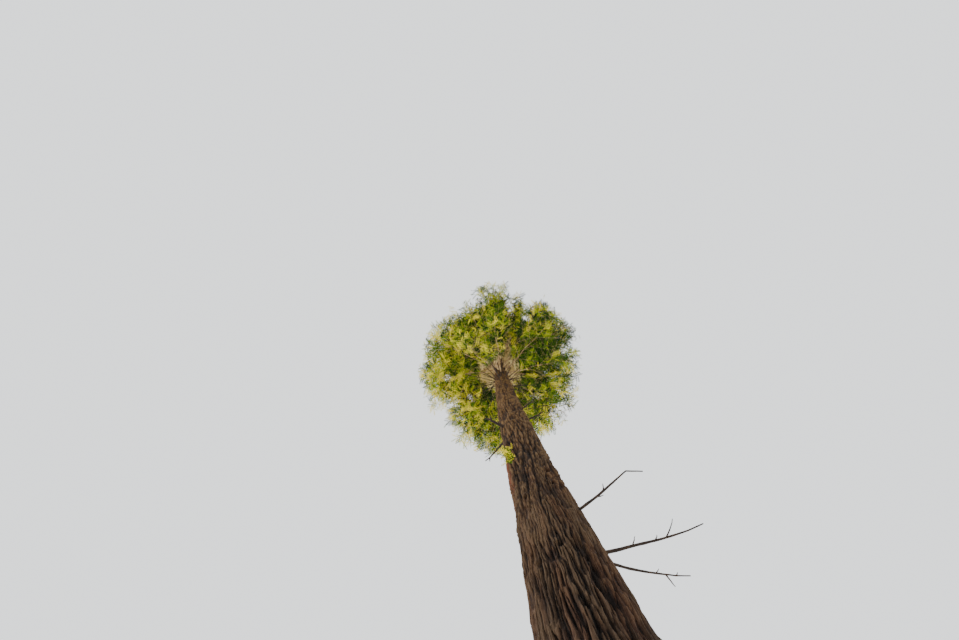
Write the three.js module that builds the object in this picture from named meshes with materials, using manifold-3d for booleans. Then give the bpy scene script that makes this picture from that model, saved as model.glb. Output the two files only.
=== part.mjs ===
// A coast redwood from the ground to its tip: one trunk, its boughs and its masses of foliage.
// Millimetres, +Z up. The origin is the centre of the flat cut at ground level.
// The real tree is about 65 m tall. Every size below is that tree's at 40/65 of its real size.
import * as THREE from "three";
import { mergeVertices } from "three/addons/utils/BufferGeometryUtils.js";
import Module from "manifold-3d";

const wasm = await Module();
wasm.setup();

const METRE = 1000;
const UP = new THREE.Vector3(0, 0, 1);
const GOLDEN_ANGLE = Math.PI * (3 - Math.sqrt(5));
const CLEARANCE = 0.3; // between two solids that meet

// Trunk
const TREE_HEIGHT = 40 * METRE;
const BOLE_RADIUS = 455; // the plain bole carried down to the ground
const TIP_RADIUS = 15;
const BOLE_POWER = 0.85; // under 1 keeps the bole stout for longer before it runs out
const SWELL = 300; // what the butt adds to the radius, fading over SWELL_HEIGHT
const SWELL_HEIGHT = 4 * METRE;
const ROOT_FLARE = 290; // what the root collar adds, fading over FLARE_HEIGHT
const FLARE_HEIGHT = 0.65 * METRE;
const BUTTRESSES = 7;
const BUTTRESS_SHARE = 0.13; // how far the buttresses stand out, as a share of the radius
const BUTTRESS_HEIGHT = 1.8 * METRE;
const SWEEP = -130; // how far the bole bows from a straight line, one way and then the other
const TRUNK_SIDES = 26;
const TRUNK_RINGS = 28;
const TRUNK_RING_POWER = 1.7; // over 1 crowds the rings towards the root flare

// Crown
const CROWN_BASE = 18.6 * METRE;
const CROWN_RADIUS = 4.1 * METRE;
const CROWN_LENGTH = TREE_HEIGHT - CROWN_BASE;
const FOOT_SHARE = 0.72; // the crown's radius at its base, as a share of the widest
const FOOT_GAIN = 1.6;
const CROWN_POWER = 0.62;
const LOW_DROOP = 0.34; // fall of the lowest layers for each unit they run outwards
const TOP_DROOP = -0.12;
const LAYER_WAVE = 0.11; // how far a layer's face waves up and down, as a share of the distance out
const RAMP_TURNS = 8.15; // turns of the ramp that the masses follow up the trunk
const RAMP_START = -0.36; // the compass turn that the ramp starts at
const LOWEST_TURN = 2.89 * METRE; // what the ramp climbs in its first turn
const TURN_SHRINK = 0.953; // each turn's climb over that of the one below it
const LOW_SPAN = 0.2; // turns of the ramp that the lowest mass takes up
const TOP_SPAN = 0.3;
const BOUGHS = 18; // the lowest masses have a separate bough under each
const REACH_SPREAD = 0.1; // how far masses differ in their reach
const SPACE_MARGIN = 30; // clear space kept inside every face of a mass's space

// Limbs
const BOUGH_RADIUS = 46;
const LIMB_TO_TRUNK = 0.5; // a limb is no thicker than this share of the trunk that it leaves
const BOUGH_SHARE = 0.3; // the share of a limb's length that is bare bough
const BOUGH_SIDES = 6;
const BOUGH_RINGS = 4;
const TAPER_POWER = 0.8;
const LIMB_RISE = 0.1; // a limb's lift half way along, as a share of its length
const LIMB_SIDE = 0.07; // how far a limb bends sideways, as a share of its length
const LIMB_REACH = 0.93; // a limb's length over the crown's radius
const LIMB_HEIGHT_SPREAD = 0.12; // how far a limb sits off the middle of its space
const LIMB_ANGLE_SPREAD = 0.25;
const LIMB_TAPER = 0.93; // the share of its thickness that a limb has lost at its tip
const THINNEST_LIMB = 0.55; // the smallest limb or spray over the largest
const TOP_GAP = 0.25 * METRE; // bare leader above the highest limb
const MARCH_STEPS = 40; // steps taken to find where a line leaves its space

// Twigs and sprays
const STEM_SIDES = 4;
const STEM_RINGS = 3;
const SIDE_TWIGS = 5;
const TWIG_SPREAD = 1.0; // radians between a stem and its side twigs
const TWIG_FLATTEN = 0.75; // how far side twigs keep to the layer, where 1 is a full puff
const LONGEST_TWIG = 2.6 * METRE;
const TWIG_START = 0.07; // bare stem before its first side twig, as a share of the limb
const TRUNK_START = 0.12; // the same, where it is counted from the trunk's face
const TWIG_END = 0.92;
const TWIG_REACH = 0.97; // how much of the run up to its space's face a side twig takes
const SPRAY_LENGTH = 1.15 * METRE;
const SPRAY_WIDTH_SHARE = 0.46;
const SPRAY_THICKNESS = 24;
const SPRAY_OUTLINE = [[0.4, 1], [0.5, 0.42], [1, 0], [0.55, -0.42], [0.45, -1]]; // along, across
const SPRAY_RIDGE = 0.47; // where the blade is thickest
const SPRAY_SIZES = [1, 0.8, 0.6]; // tried in turn until one fits
const SPRAY_FAN = 0.75; // radians between a twig and the sprays on its sides
const SPRAY_PLACES = [0.4, 0.84]; // where along a side twig its two side sprays leave
const SPRAY_TILT = 0.6;
const END_SPRAY = 0.9; // where along the limb its end spray starts
const SHORTEST_STALK = 0.25; // as a share of the spray
const STALK_HALF = 15; // half the thickness of a side twig at its root
const STALK_END = 0.95;
const SMOOTH_OVER = 3; // slivers thinner than this go when a mass is joined

// Dead limbs that stand out of the clear bole: height, compass angle in degrees, length, radius, rise
const SNAGS = [
  { name: "snag_low_back", height: 6.57, angle: 32, length: 1.2, radius: 19, rise: 0 },
  { name: "snag_low_right", height: 6.21, angle: 2, length: 1.22, radius: 25, rise: 0 },
  { name: "snag_right", height: 6.86, angle: -21, length: 0.9, radius: 22, rise: 0 },
  { name: "snag_left", height: 11.51, angle: 224, length: 0.45, radius: 25, rise: 0 },
  { name: "snag_middle_right", height: 12.17, angle: -4, length: 0.42, radius: 20, rise: 0 },
  { name: "snag_high_left", height: 12.07, angle: 148, length: 0.74, radius: 27, rise: 0 },
  { name: "snag_high_right", height: 13.16, angle: -16, length: 0.45, radius: 22, rise: 0 },
];
const SNAG_SAG = 0.08;
const SNAG_TAPER = 0.6;

const BARK = new THREE.MeshStandardMaterial({ color: 0x6a5447, roughness: 0.95, metalness: 0 });
const TWIG_BARK = new THREE.MeshStandardMaterial({ color: 0x4c3a2e, roughness: 0.9, metalness: 0 });
const NEEDLES = new THREE.MeshStandardMaterial({ color: 0x3f6420, roughness: 0.6, metalness: 0 });

const { clamp, lerp } = THREE.MathUtils;

// A number from 0 to 1 that only depends on its two seeds.
function chance(seed, salt) {
  const wave = Math.sin(seed * 127.1 + salt * 311.7) * 43758.5453;
  return wave - Math.floor(wave);
}

function spread(seed, salt, reach) {
  return (chance(seed, salt) * 2 - 1) * reach;
}

function direction(angle, rise = 0) {
  return new THREE.Vector3(Math.cos(angle), Math.sin(angle), rise);
}

// Trunk: its middle line and its radius at each height.

function trunkCentre(z) {
  const share = z / TREE_HEIGHT;
  const bow = SWEEP * Math.sin(Math.PI * share) ** 2 * Math.sin(2 * Math.PI * share);
  return new THREE.Vector3(bow, 0.6 * bow, z);
}

function boleRadius(z) {
  const bole = (BOLE_RADIUS - TIP_RADIUS) * Math.pow(1 - z / TREE_HEIGHT, BOLE_POWER) + TIP_RADIUS;
  return bole + SWELL * Math.exp(-z / SWELL_HEIGHT) + ROOT_FLARE * Math.exp(-z / FLARE_HEIGHT);
}

function trunkRadius(z, angle) {
  const foot = BUTTRESS_SHARE * Math.exp(-z / BUTTRESS_HEIGHT);
  const lobes = Math.cos(BUTTRESSES * angle) + 0.5 * Math.cos(3 * angle + 1);
  const flute = 0.02 * Math.cos(5 * angle + z / (5 * METRE));
  return boleRadius(z) * (1 + foot * lobes + flute);
}

// Solids

function solidOf(geometry) {
  const bare = geometry.clone();
  bare.deleteAttribute("normal");
  bare.deleteAttribute("uv");
  const merged = mergeVertices(bare, 1e-3);
  return new wasm.Manifold(
    new wasm.Mesh({
      numProp: 3,
      vertProperties: merged.attributes.position.array,
      triVerts: new Uint32Array(merged.index.array),
    }),
  );
}

// The largest single body of a solid, which leaves out scraps that a cut has loosened.
function mainBody(solid) {
  return solid.decompose().reduce((best, body) => (body.volume() > best.volume() ? body : best));
}

function meshOf(name, solid, material) {
  const { vertProperties, triVerts } = solid.getMesh();
  const geometry = new THREE.BufferGeometry();
  geometry.setAttribute("position", new THREE.BufferAttribute(vertProperties, 3));
  geometry.setIndex(new THREE.BufferAttribute(triVerts, 1));
  geometry.computeVertexNormals();
  const mesh = new THREE.Mesh(geometry, material);
  mesh.name = name;
  return mesh;
}

// A round limb along a curve, from a cylinder whose rings are carried to the curve.
function limb(curve, sides, rings, radiusAt, from = 0, to = 1) {
  const geometry = new THREE.CylinderGeometry(1, 1, 1, sides, rings);
  const place = geometry.attributes.position;
  const point = new THREE.Vector3();
  for (let i = 0; i < place.count; i++) {
    point.fromBufferAttribute(place, i);
    const share = point.y + 0.5;
    const along = lerp(from, to, share);
    const tangent = curve.getTangent(along);
    const side = new THREE.Vector3().crossVectors(tangent, UP).normalize();
    const lift = new THREE.Vector3().crossVectors(side, tangent);
    const radius = radiusAt(share);
    curve.getPoint(along, point);
    point.addScaledVector(side, place.getX(i) * radius).addScaledVector(lift, place.getZ(i) * radius);
    place.setXYZ(i, point.x, point.y, point.z);
  }
  return solidOf(geometry);
}

function trunkSolid(grown = 0) {
  const geometry = new THREE.CylinderGeometry(1, 1, 1, TRUNK_SIDES, TRUNK_RINGS);
  const place = geometry.attributes.position;
  for (let i = 0; i < place.count; i++) {
    const share = Math.pow(place.getY(i) + 0.5, TRUNK_RING_POWER);
    const z = share * TREE_HEIGHT;
    const angle = Math.atan2(-place.getZ(i), place.getX(i));
    const out = Math.hypot(place.getX(i), place.getZ(i)) > 0.5 ? trunkRadius(z, angle) + grown : 0;
    const centre = trunkCentre(z);
    place.setXYZ(i, centre.x + out * Math.cos(angle), centre.y + out * Math.sin(angle), z);
  }
  return solidOf(geometry);
}

// The crown's spaces. A layer is a face that falls as it runs outwards and waves as it runs round.

function crownRadius(z) {
  const share = clamp((z - CROWN_BASE) / CROWN_LENGTH, 0, 1);
  const foot = Math.min(1, FOOT_SHARE + FOOT_GAIN * share);
  return CROWN_RADIUS * foot * Math.pow(1 - share, CROWN_POWER);
}

function droopAt(z) {
  return lerp(LOW_DROOP, TOP_DROOP, clamp((z - CROWN_BASE) / CROWN_LENGTH, 0, 1));
}

function layerOf(point) {
  const out = Math.hypot(point.x, point.y);
  const turn = Math.atan2(point.y, point.x);
  const wave = 0.6 * Math.sin(2 * turn + 1.3) + 0.4 * Math.sin(3 * turn - 0.6);
  return point.z + out * (droopAt(point.z) + LAYER_WAVE * wave);
}

// The masses follow one ramp round the trunk. A place on it is counted in turns from its foot.
function rampHeight(place) {
  return CROWN_BASE + (LOWEST_TURN * (1 - Math.pow(TURN_SHRINK, place))) / (1 - TURN_SHRINK);
}

function crownSpaces() {
  const spaces = [];
  let end = 0;
  while (end < RAMP_TURNS) {
    const start = end;
    end += lerp(LOW_SPAN, TOP_SPAN, start / RAMP_TURNS);
    const seed = spaces.length + 1;
    spaces.push({ seed, start, middle: (start + end) / 2, half: (end - start) / 2 });
  }
  for (const space of spaces) {
    space.name = String(space.seed).padStart(2, "0");
    space.floor = rampHeight(space.middle);
    space.ceiling = rampHeight(space.middle + 1);
    space.compass = space.middle + RAMP_START;
    space.open = space.start + 1 >= end; // nothing lies above it
    space.reach = 1 + spread(space.seed, 1, REACH_SPREAD);
    space.hasBough = space.seed <= BOUGHS;
  }
  return spaces;
}

function inSpace(space, point, margin = SPACE_MARGIN) {
  const layer = layerOf(point);
  const out = Math.hypot(point.x, point.y);
  const turns = Math.atan2(point.y, point.x) / (2 * Math.PI) - space.compass;
  const off = turns - Math.round(turns);
  const sideGap = out * Math.sin(Math.min(2 * Math.PI * (space.half - Math.abs(off)), Math.PI / 2));
  const place = space.middle + off;
  return (
    layer > rampHeight(place) + margin &&
    (space.open || layer < rampHeight(place + 1) - margin) &&
    sideGap > margin &&
    out < crownRadius(point.z) * space.reach &&
    out > boleRadius(point.z) + margin &&
    point.z < TREE_HEIGHT
  );
}

// How far a line can run from a point before it leaves the space.
function runInside(space, start, heading, most) {
  const step = most / MARCH_STEPS;
  let run = 0;
  while (run < most && inSpace(space, start.clone().addScaledVector(heading, run + step))) run += step;
  return run;
}

// The one limb that a space grows from: out of the trunk, lifted a little and then down to its tip.
function limbCurve(space) {
  const { seed } = space;
  const top = Math.min(space.ceiling, TREE_HEIGHT - TOP_GAP);
  const z = lerp(space.floor, top, 0.5 + spread(seed, 2, LIMB_HEIGHT_SPREAD));
  const angle = 2 * Math.PI * (space.compass + spread(seed, 3, LIMB_ANGLE_SPREAD * space.half));
  const length = crownRadius(z) * space.reach * LIMB_REACH;
  const heading = direction(angle, -droopAt(z));
  const root = trunkCentre(z);
  const sideways = direction(angle + Math.PI / 2).multiplyScalar(length * spread(seed, 4, LIMB_SIDE));
  const tip = root.clone().addScaledVector(heading, length);
  const bend = root.clone().addScaledVector(heading, length / 2).add(sideways);
  bend.z += 2 * LIMB_RISE * length;
  return new THREE.QuadraticBezierCurve3(root, bend, tip);
}

// How large a space's limb and sprays are, next to the largest in the crown.
function limbSize(space) {
  return lerp(THINNEST_LIMB, 1, crownRadius(space.floor) / CROWN_RADIUS);
}

function limbRadius(space, share) {
  const top = Math.min(space.ceiling, TREE_HEIGHT - 2 * TOP_GAP);
  const root = Math.min(BOUGH_RADIUS * limbSize(space), LIMB_TO_TRUNK * boleRadius(top));
  return root * Math.pow(1 - LIMB_TAPER * share, TAPER_POWER);
}

// A spray of needles: a thin blade with a tooth on each side and a ridge along its middle.
// With a stalk it is a side twig and the spray at its end in one.
function blade(root, heading, flat, stalk, length) {
  const across = new THREE.Vector3().crossVectors(heading, flat).normalize();
  const normal = new THREE.Vector3().crossVectors(across, heading).normalize();
  const half = (length * SPRAY_WIDTH_SHARE) / 2;
  const at = (along, out, lift = 0) =>
    root.clone().addScaledVector(heading, along).addScaledVector(across, out).addScaledVector(normal, lift);
  const leaf = SPRAY_OUTLINE.map(([along, out]) => at(stalk + along * length, out * half));
  const neck = STALK_END * stalk;
  const foot = stalk ? [at(0, STALK_HALF), at(neck, STALK_HALF / 2)] : [];
  const rim = [...foot, ...leaf, ...foot.map((_, i) => at(i ? 0 : neck, i ? -STALK_HALF : -STALK_HALF / 2))];
  const ridge = stalk + SPRAY_RIDGE * length;
  const lifts = [at(0, 0, STALK_HALF), at(ridge, 0, SPRAY_THICKNESS / 2)];
  const drops = [at(0, 0, -STALK_HALF), at(ridge, 0, -SPRAY_THICKNESS / 2)];
  const [highRoot, highRidge, lowRoot, lowRidge] = [0, 1, 2, 3].map((i) => rim.length + i);
  const last = rim.length - 1;
  const faces = rim.slice(1).flatMap((_, i) => [i, i + 1, highRidge, i + 1, i, lowRidge]);
  faces.push(highRoot, 0, highRidge, last, highRoot, highRidge);
  faces.push(0, lowRoot, lowRidge, lowRoot, last, lowRidge);
  faces.push(highRoot, lowRoot, 0, lowRoot, highRoot, last);
  const geometry = new THREE.BufferGeometry().setFromPoints([...rim, ...lifts, ...drops]);
  geometry.setIndex(faces);
  return { solid: solidOf(geometry), tips: [...leaf, root.clone().lerp(leaf[2], 0.5)] };
}

// The way a side twig runs: off its stem at an angle, rolled round it by the golden angle.
function twigHeading(curve, along, roll) {
  const tangent = curve.getTangent(along);
  const side = new THREE.Vector3().crossVectors(tangent, UP).normalize();
  return tangent
    .multiplyScalar(Math.cos(TWIG_SPREAD))
    .addScaledVector(side, Math.cos(roll) * Math.sin(TWIG_SPREAD))
    .addScaledVector(UP, Math.sin(roll) * Math.sin(TWIG_SPREAD) * TWIG_FLATTEN)
    .normalize();
}

// A mass of foliage: one stem, side twigs that wind round it, and sprays at their sides and tips.
function massSolid(space, trunkShell) {
  const { seed, hasBough } = space;
  const curve = limbCurve(space);
  const from = hasBough ? BOUGH_SHARE + CLEARANCE / curve.getLength() : 0;
  const stem = limb(curve, STEM_SIDES, STEM_RINGS, (share) => limbRadius(space, lerp(from, 1, share)), from);
  const parts = [stem];
  const fullSpray = SPRAY_LENGTH * limbSize(space);
  const trunkFace = boleRadius(space.floor) / crownRadius(space.floor);
  const first = Math.max(from + TWIG_START, trunkFace + TRUNK_START);

  // Adds the largest of a few sizes of a spray that stays in the space.
  const addSpray = (root, heading, stalk, salt) => {
    const flat = UP.clone();
    flat.x += spread(seed, salt, SPRAY_TILT);
    flat.y += spread(seed, salt + 0.5, SPRAY_TILT);
    for (const size of SPRAY_SIZES) {
      const grown = blade(root, heading, flat, stalk * size, fullSpray * size);
      if (grown.tips.every((point) => inSpace(space, point))) {
        parts.push(grown.solid);
        return stalk * size;
      }
    }
    return 0;
  };

  for (let i = 0; i < SIDE_TWIGS; i++) {
    const along = lerp(first, TWIG_END, i / (SIDE_TWIGS - 1));
    const root = curve.getPoint(along);
    const heading = twigHeading(curve, along, GOLDEN_ANGLE * i + 6 * chance(seed, 5));
    const run = runInside(space, root, heading, LONGEST_TWIG);
    const wanted = Math.max(run * TWIG_REACH - fullSpray, SHORTEST_STALK * fullSpray);
    const stalk = addSpray(root, heading, wanted, 10 + i);
    const fan = new THREE.Vector3().crossVectors(heading, UP).normalize();
    SPRAY_PLACES.forEach((share, hand) => {
      if (stalk * share < SHORTEST_STALK * fullSpray) return;
      const sideHeading = heading.clone().multiplyScalar(Math.cos(SPRAY_FAN));
      sideHeading.addScaledVector(fan, (2 * hand - 1) * Math.sin(SPRAY_FAN)).normalize();
      addSpray(root.clone().addScaledVector(heading, share * stalk), sideHeading, 0, 20 + 2 * i + hand);
    });
  }
  addSpray(curve.getPoint(END_SPRAY), curve.getTangent(1), 0, 40);
  const joined = wasm.Manifold.union(parts).simplify(SMOOTH_OVER);
  return mainBody(hasBough ? joined : joined.subtract(trunkShell));
}

function boughSolid(space, trunkShell) {
  const curve = limbCurve(space);
  const radiusAt = (share) => limbRadius(space, share * BOUGH_SHARE);
  return mainBody(limb(curve, BOUGH_SIDES, BOUGH_RINGS, radiusAt, 0, BOUGH_SHARE).subtract(trunkShell));
}

function snagSolid(snag, trunkShell) {
  const angle = THREE.MathUtils.degToRad(snag.angle);
  const root = trunkCentre(snag.height * METRE);
  const length = snag.length * METRE + boleRadius(root.z);
  const tip = root.clone().addScaledVector(direction(angle, snag.rise), length);
  const bend = root.clone().lerp(tip, 0.5);
  bend.z -= SNAG_SAG * length;
  const curve = new THREE.QuadraticBezierCurve3(root, bend, tip);
  const radiusAt = (share) => snag.radius * (1 - SNAG_TAPER * share);
  return mainBody(limb(curve, BOUGH_SIDES, BOUGH_RINGS, radiusAt).subtract(trunkShell));
}

function redwood() {
  const tree = new THREE.Group();
  const trunkShell = trunkSolid(CLEARANCE);
  tree.add(meshOf("trunk", trunkSolid(), BARK));
  for (const snag of SNAGS) tree.add(meshOf(snag.name, snagSolid(snag, trunkShell), TWIG_BARK));
  for (const space of crownSpaces()) {
    if (space.hasBough) tree.add(meshOf(`bough_${space.name}`, boughSolid(space, trunkShell), TWIG_BARK));
    tree.add(meshOf(`foliage_${space.name}`, massSolid(space, trunkShell), NEEDLES));
  }
  return tree;
}

export default redwood();
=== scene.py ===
# %% [markdown]
# # A coast redwood, seen from its foot
# The tree stands 40 m high here, at 40/65 of its real size. Its trunk runs bare for 19 m, and then
# through a narrow crown of drooping boughs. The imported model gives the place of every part, so the
# frame is loaded first and everything else is grown on it, in metres with +Z up.

# %% Load the frame
import math

import bpy
import numpy as np
from mathutils import Matrix, Vector


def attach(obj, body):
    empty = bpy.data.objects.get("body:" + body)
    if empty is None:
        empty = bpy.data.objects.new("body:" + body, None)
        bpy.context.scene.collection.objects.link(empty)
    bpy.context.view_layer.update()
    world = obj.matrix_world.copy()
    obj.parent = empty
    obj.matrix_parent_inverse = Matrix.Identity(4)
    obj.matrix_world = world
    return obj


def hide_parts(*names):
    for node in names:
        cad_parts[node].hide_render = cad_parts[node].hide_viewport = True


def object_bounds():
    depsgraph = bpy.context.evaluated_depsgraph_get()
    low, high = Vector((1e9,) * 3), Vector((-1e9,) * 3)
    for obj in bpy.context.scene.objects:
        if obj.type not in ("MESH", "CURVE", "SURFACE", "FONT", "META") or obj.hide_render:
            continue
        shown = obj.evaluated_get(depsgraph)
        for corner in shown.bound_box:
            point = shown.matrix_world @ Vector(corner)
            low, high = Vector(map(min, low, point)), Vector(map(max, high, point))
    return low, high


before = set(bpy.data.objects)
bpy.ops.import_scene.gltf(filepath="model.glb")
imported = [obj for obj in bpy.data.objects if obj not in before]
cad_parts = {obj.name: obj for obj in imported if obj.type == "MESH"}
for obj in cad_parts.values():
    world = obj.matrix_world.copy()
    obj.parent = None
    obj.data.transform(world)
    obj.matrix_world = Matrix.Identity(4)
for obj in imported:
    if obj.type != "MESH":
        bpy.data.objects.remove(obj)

cad_box = [list(corner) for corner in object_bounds()]
nodes = sorted(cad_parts)
print(len(nodes), "solids, box", [[round(n, 2) for n in corner] for corner in cad_box])

# %% [markdown]
# ## The camera
# The picture was taken from beside the trunk, looking almost straight up, so all upright lines run to
# one point, the zenith. That point lies a little above the middle of the picture. The camera looks up,
# is turned until the trunk runs down and to the right, and leans until the zenith falls in its place.

# %% Camera
IMAGE_SIZE = (959, 640)
ZENITH_PIXEL = (475, 300)
LENS_MM = 18.0
SENSOR_MM = 36.0
EYE = Vector((0.0, -3.2, 0.8))
ROLL = math.radians(19.2)  # how far the trunk runs to the right of straight down

focal = IMAGE_SIZE[0] * LENS_MM / SENSOR_MM
right = Vector((math.cos(ROLL), math.sin(ROLL), 0))
down = Vector((-math.sin(ROLL), math.cos(ROLL), 0))
ahead = Vector((0, 0, 1))
ahead += right * (IMAGE_SIZE[0] / 2 - ZENITH_PIXEL[0]) / focal
ahead += down * (IMAGE_SIZE[1] / 2 - ZENITH_PIXEL[1]) / focal
ahead.normalize()
right = (right - ahead * right.dot(ahead)).normalized()
turned = Matrix((right, ahead.cross(right) * -1, -ahead)).transposed()

bpy.ops.object.select_all(action="DESELECT")
bpy.ops.object.camera_add(location=EYE, rotation=turned.to_euler())
camera = bpy.context.object
camera.name = "photo_camera"
camera.data.lens = LENS_MM
camera.data.sensor_width = SENSOR_MM
camera.data.clip_end = 500
bpy.context.scene.camera = camera
print("camera up", [round(n, 3) for n in turned.col[1]], "ahead", [round(n, 3) for n in ahead])

# %% [markdown]
# ## Light and floor
# A tree of this height needs light from far away. A broad pale world gives the soft fill, and one wide
# sun from the left gives the bark its shadows. The floor is plain and pale, and throws light up under
# the boughs.

# %% Colours
def colour(text):
    """The linear colour of an sRGB hex value."""
    parts = [int(text[i : i + 2], 16) / 255 for i in (1, 3, 5)]
    return (*(p / 12.92 if p <= 0.04045 else ((p + 0.055) / 1.055) ** 2.4 for p in parts), 1.0)


def add_node(tree, kind, inputs=None, stops=None, **settings):
    """Adds one node with its settings, its values and its links, and a ramp's stops."""
    made = tree.nodes.new(kind)
    for name, value in settings.items():
        setattr(made, name, value)
    for name, value in (inputs or {}).items():
        if isinstance(value, bpy.types.NodeSocket):
            tree.links.new(value, made.inputs[name])
        else:
            made.inputs[name].default_value = value
    for i, (place, text) in enumerate(stops or ()):
        ends = made.color_ramp.elements
        stop = ends[i] if i < len(ends) else ends.new(place)
        stop.position = place
        stop.color = colour(text)
    return made


def new_material(name):
    """A material with an empty node tree, and the tree."""
    made = bpy.data.materials.new(name)
    made.use_nodes = True
    made.node_tree.nodes.clear()
    return made, made.node_tree


FLOOR_COLOUR = "#e8e6e1"
print("pale floor grey is", [round(c, 3) for c in colour(FLOOR_COLOUR)])

# %% World, sun and floor
world = bpy.data.worlds.new("studio")
world.use_nodes = True
backdrop = world.node_tree.nodes["Background"]
backdrop.inputs["Color"].default_value = colour("#eef1f3")
backdrop.inputs["Strength"].default_value = 1.85
bpy.context.scene.world = world

bpy.ops.object.light_add(type="SUN", location=(-20, -12, 30), rotation=(0, 0, 0))
key = bpy.context.object
key.name = "soft_key"
key.rotation_euler = Vector((0.86, 0.16, -0.52)).to_track_quat("-Z", "Y").to_euler()
key.data.energy = 2.6
key.data.angle = math.radians(20)
key.data.color = colour("#fff1df")[:3]

bpy.ops.mesh.primitive_plane_add(size=400, location=(0, 0, 0))
floor = bpy.context.object
floor.name = "studio_floor"
floor_paper, tree = new_material("pale_matt_paper")
values = {"Base Color": colour(FLOOR_COLOUR), "Roughness": 0.9}
shader = add_node(tree, "ShaderNodeBsdfPrincipled", values)
add_node(tree, "ShaderNodeOutputMaterial", {"Surface": shader.outputs["BSDF"]})
floor.data.materials.append(floor_paper)
print("lit by", key.name, "and", world.name)

# %% [markdown]
# ## The trunk's shape
# The bole is a long taper with a swollen butt and a root flare, and its foot is fluted by buttresses.
# These are the same sizes and rules as in the solid model, written for arrays of heights and angles.

# %% Trunk rules
TREE_HEIGHT = 40.0
BOLE_RADIUS = 0.455
TIP_RADIUS = 0.015
BOLE_POWER = 0.85
SWELL, SWELL_HEIGHT = 0.3, 4.0
ROOT_FLARE, FLARE_HEIGHT = 0.29, 0.65
BUTTRESSES, BUTTRESS_SHARE, BUTTRESS_HEIGHT = 7, 0.13, 1.8
SWEEP = -0.13


def trunk_centre(z):
    share = z / TREE_HEIGHT
    bow = SWEEP * np.sin(np.pi * share) ** 2 * np.sin(2 * np.pi * share)
    return np.stack([bow, 0.6 * bow, z], axis=-1)


def bole_radius(z):
    bole = (BOLE_RADIUS - TIP_RADIUS) * np.clip(1 - z / TREE_HEIGHT, 0, 1) ** BOLE_POWER + TIP_RADIUS
    return bole + SWELL * np.exp(-z / SWELL_HEIGHT) + ROOT_FLARE * np.exp(-z / FLARE_HEIGHT)


def trunk_radius(z, angle):
    foot = BUTTRESS_SHARE * np.exp(-z / BUTTRESS_HEIGHT)
    lobes = np.cos(BUTTRESSES * angle) + 0.5 * np.cos(3 * angle + 1)
    return bole_radius(z) * (1 + foot * lobes + 0.02 * np.cos(5 * angle + z / 5))


print("radius at breast height", round(float(bole_radius(0.8)), 3), "m")

# %% [markdown]
# ## The bark's relief
# Redwood bark is thick and fibrous. It splits into long narrow ridges that run up the trunk, and part and
# join again at small angles. A bump map would leave the outline smooth, so the relief is real geometry.
# The ridges are made of waves: some thirty waves that differ a little in width and in lean are added
# up, and the phase of the sum runs evenly from ridge to ridge. Where the waves cancel out, one ridge
# ends and its neighbours close round it, as the fibres of real bark do.

# %% Noise and waves that close round the trunk
WAVES = 30
NOISE_CELLS_UP = 997  # more than the trunk has, so the noise never comes round again


def smooth(value, low, high):
    """0 below low, 1 above high, and an even curve between."""
    share = np.clip((value - low) / (high - low), 0, 1)
    return share * share * (3 - 2 * share)


def lerp(low, high, share):
    return low + (high - low) * share


def soft_noise(u, v, columns, seed):
    """Soft noise from 0 to 1. u closes after so many columns."""
    table = np.random.default_rng(seed).random((columns, NOISE_CELLS_UP))
    iu, iv = np.floor(u).astype(int), np.floor(v).astype(int)
    fu, fv = smooth(u - iu, 0, 1), smooth(v - iv, 0, 1)
    corner = [[table[(iu + a) % columns, (iv + b) % NOISE_CELLS_UP] for b in (0, 1)] for a in (0, 1)]
    low = corner[0][0] * (1 - fv) + corner[0][1] * fv
    high = corner[1][0] * (1 - fv) + corner[1][1] * fv
    return low * (1 - fu) + high * fu


def trunk_noise(turn, z, columns, height, seed):
    """Soft noise with so many cells round the trunk, each of them so many metres high."""
    return soft_noise(turn * columns, z / height, columns, seed)


def ridge_waves(turn, z, count, count_spread, lean, seed):
    """Waves from -1 in a furrow to 1 on a ridge, about so many round the trunk, and their strength."""
    luck = np.random.default_rng(seed)
    total = np.zeros(np.shape(turn), dtype=complex)
    for _ in range(WAVES):
        round_trunk = count + luck.integers(-count_spread, count_spread + 1)
        total += np.exp(2j * np.pi * (round_trunk * turn + luck.uniform(-lean, lean) * z + luck.random()))
    strength = np.abs(total) / math.sqrt(WAVES)
    return total.real / np.maximum(np.abs(total), 1e-6), strength


print(WAVES, "waves make each pattern of ridges")

# %% Sizes of the bark's relief
# Ridges: how many round the trunk, their spread, their lean in turns a metre, and a seed
CLEFTS = (14, 5, 0.5, 11)
LOW_PLATES, HIGH_PLATES = (33, 12, 1.5, 14), (21, 8, 1.2, 15)
LOW_STRANDS, HIGH_STRANDS = (61, 20, 2.2, 12), (38, 13, 1.8, 16)
FIBRES = (138, 40, 4.0, 13)
LOW_PATTERN_TOP, HIGH_PATTERN_FOOT = 5.0, 10.0
FURROW_FLOOR = 0.3  # the share of a furrow's half width that is flat and deep

# Noise: its cells round the trunk, their height in metres, and a seed
WIDE_BEND, FINE_BEND = (19, 0.45, 2), (57, 0.15, 4)
CLEFT_PLACES, PLATE_WIDTHS, STRAND_WIDTHS = (6, 2.6, 1), (17, 0.7, 5), (37, 0.4, 6)
CHIPS, FLAKES = (50, 0.2, 9), (26, 0.4, 18)
FINE_TINT, WIDE_TINT = (61, 0.55, 7), (29, 1.1, 8)
WIDE_SWELLS, SMALL_SWELLS = (11, 1.5, 3), (14, 0.5, 10)
DEEP_CLEFT_EDGE, DEEP_CLEFT_BREAKS = (70, 0.16, 19), (23, 0.3, 20)
PIT_EDGE, TORN_EDGE = (90, 0.06, 17), (90, 0.25, 24)

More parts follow.
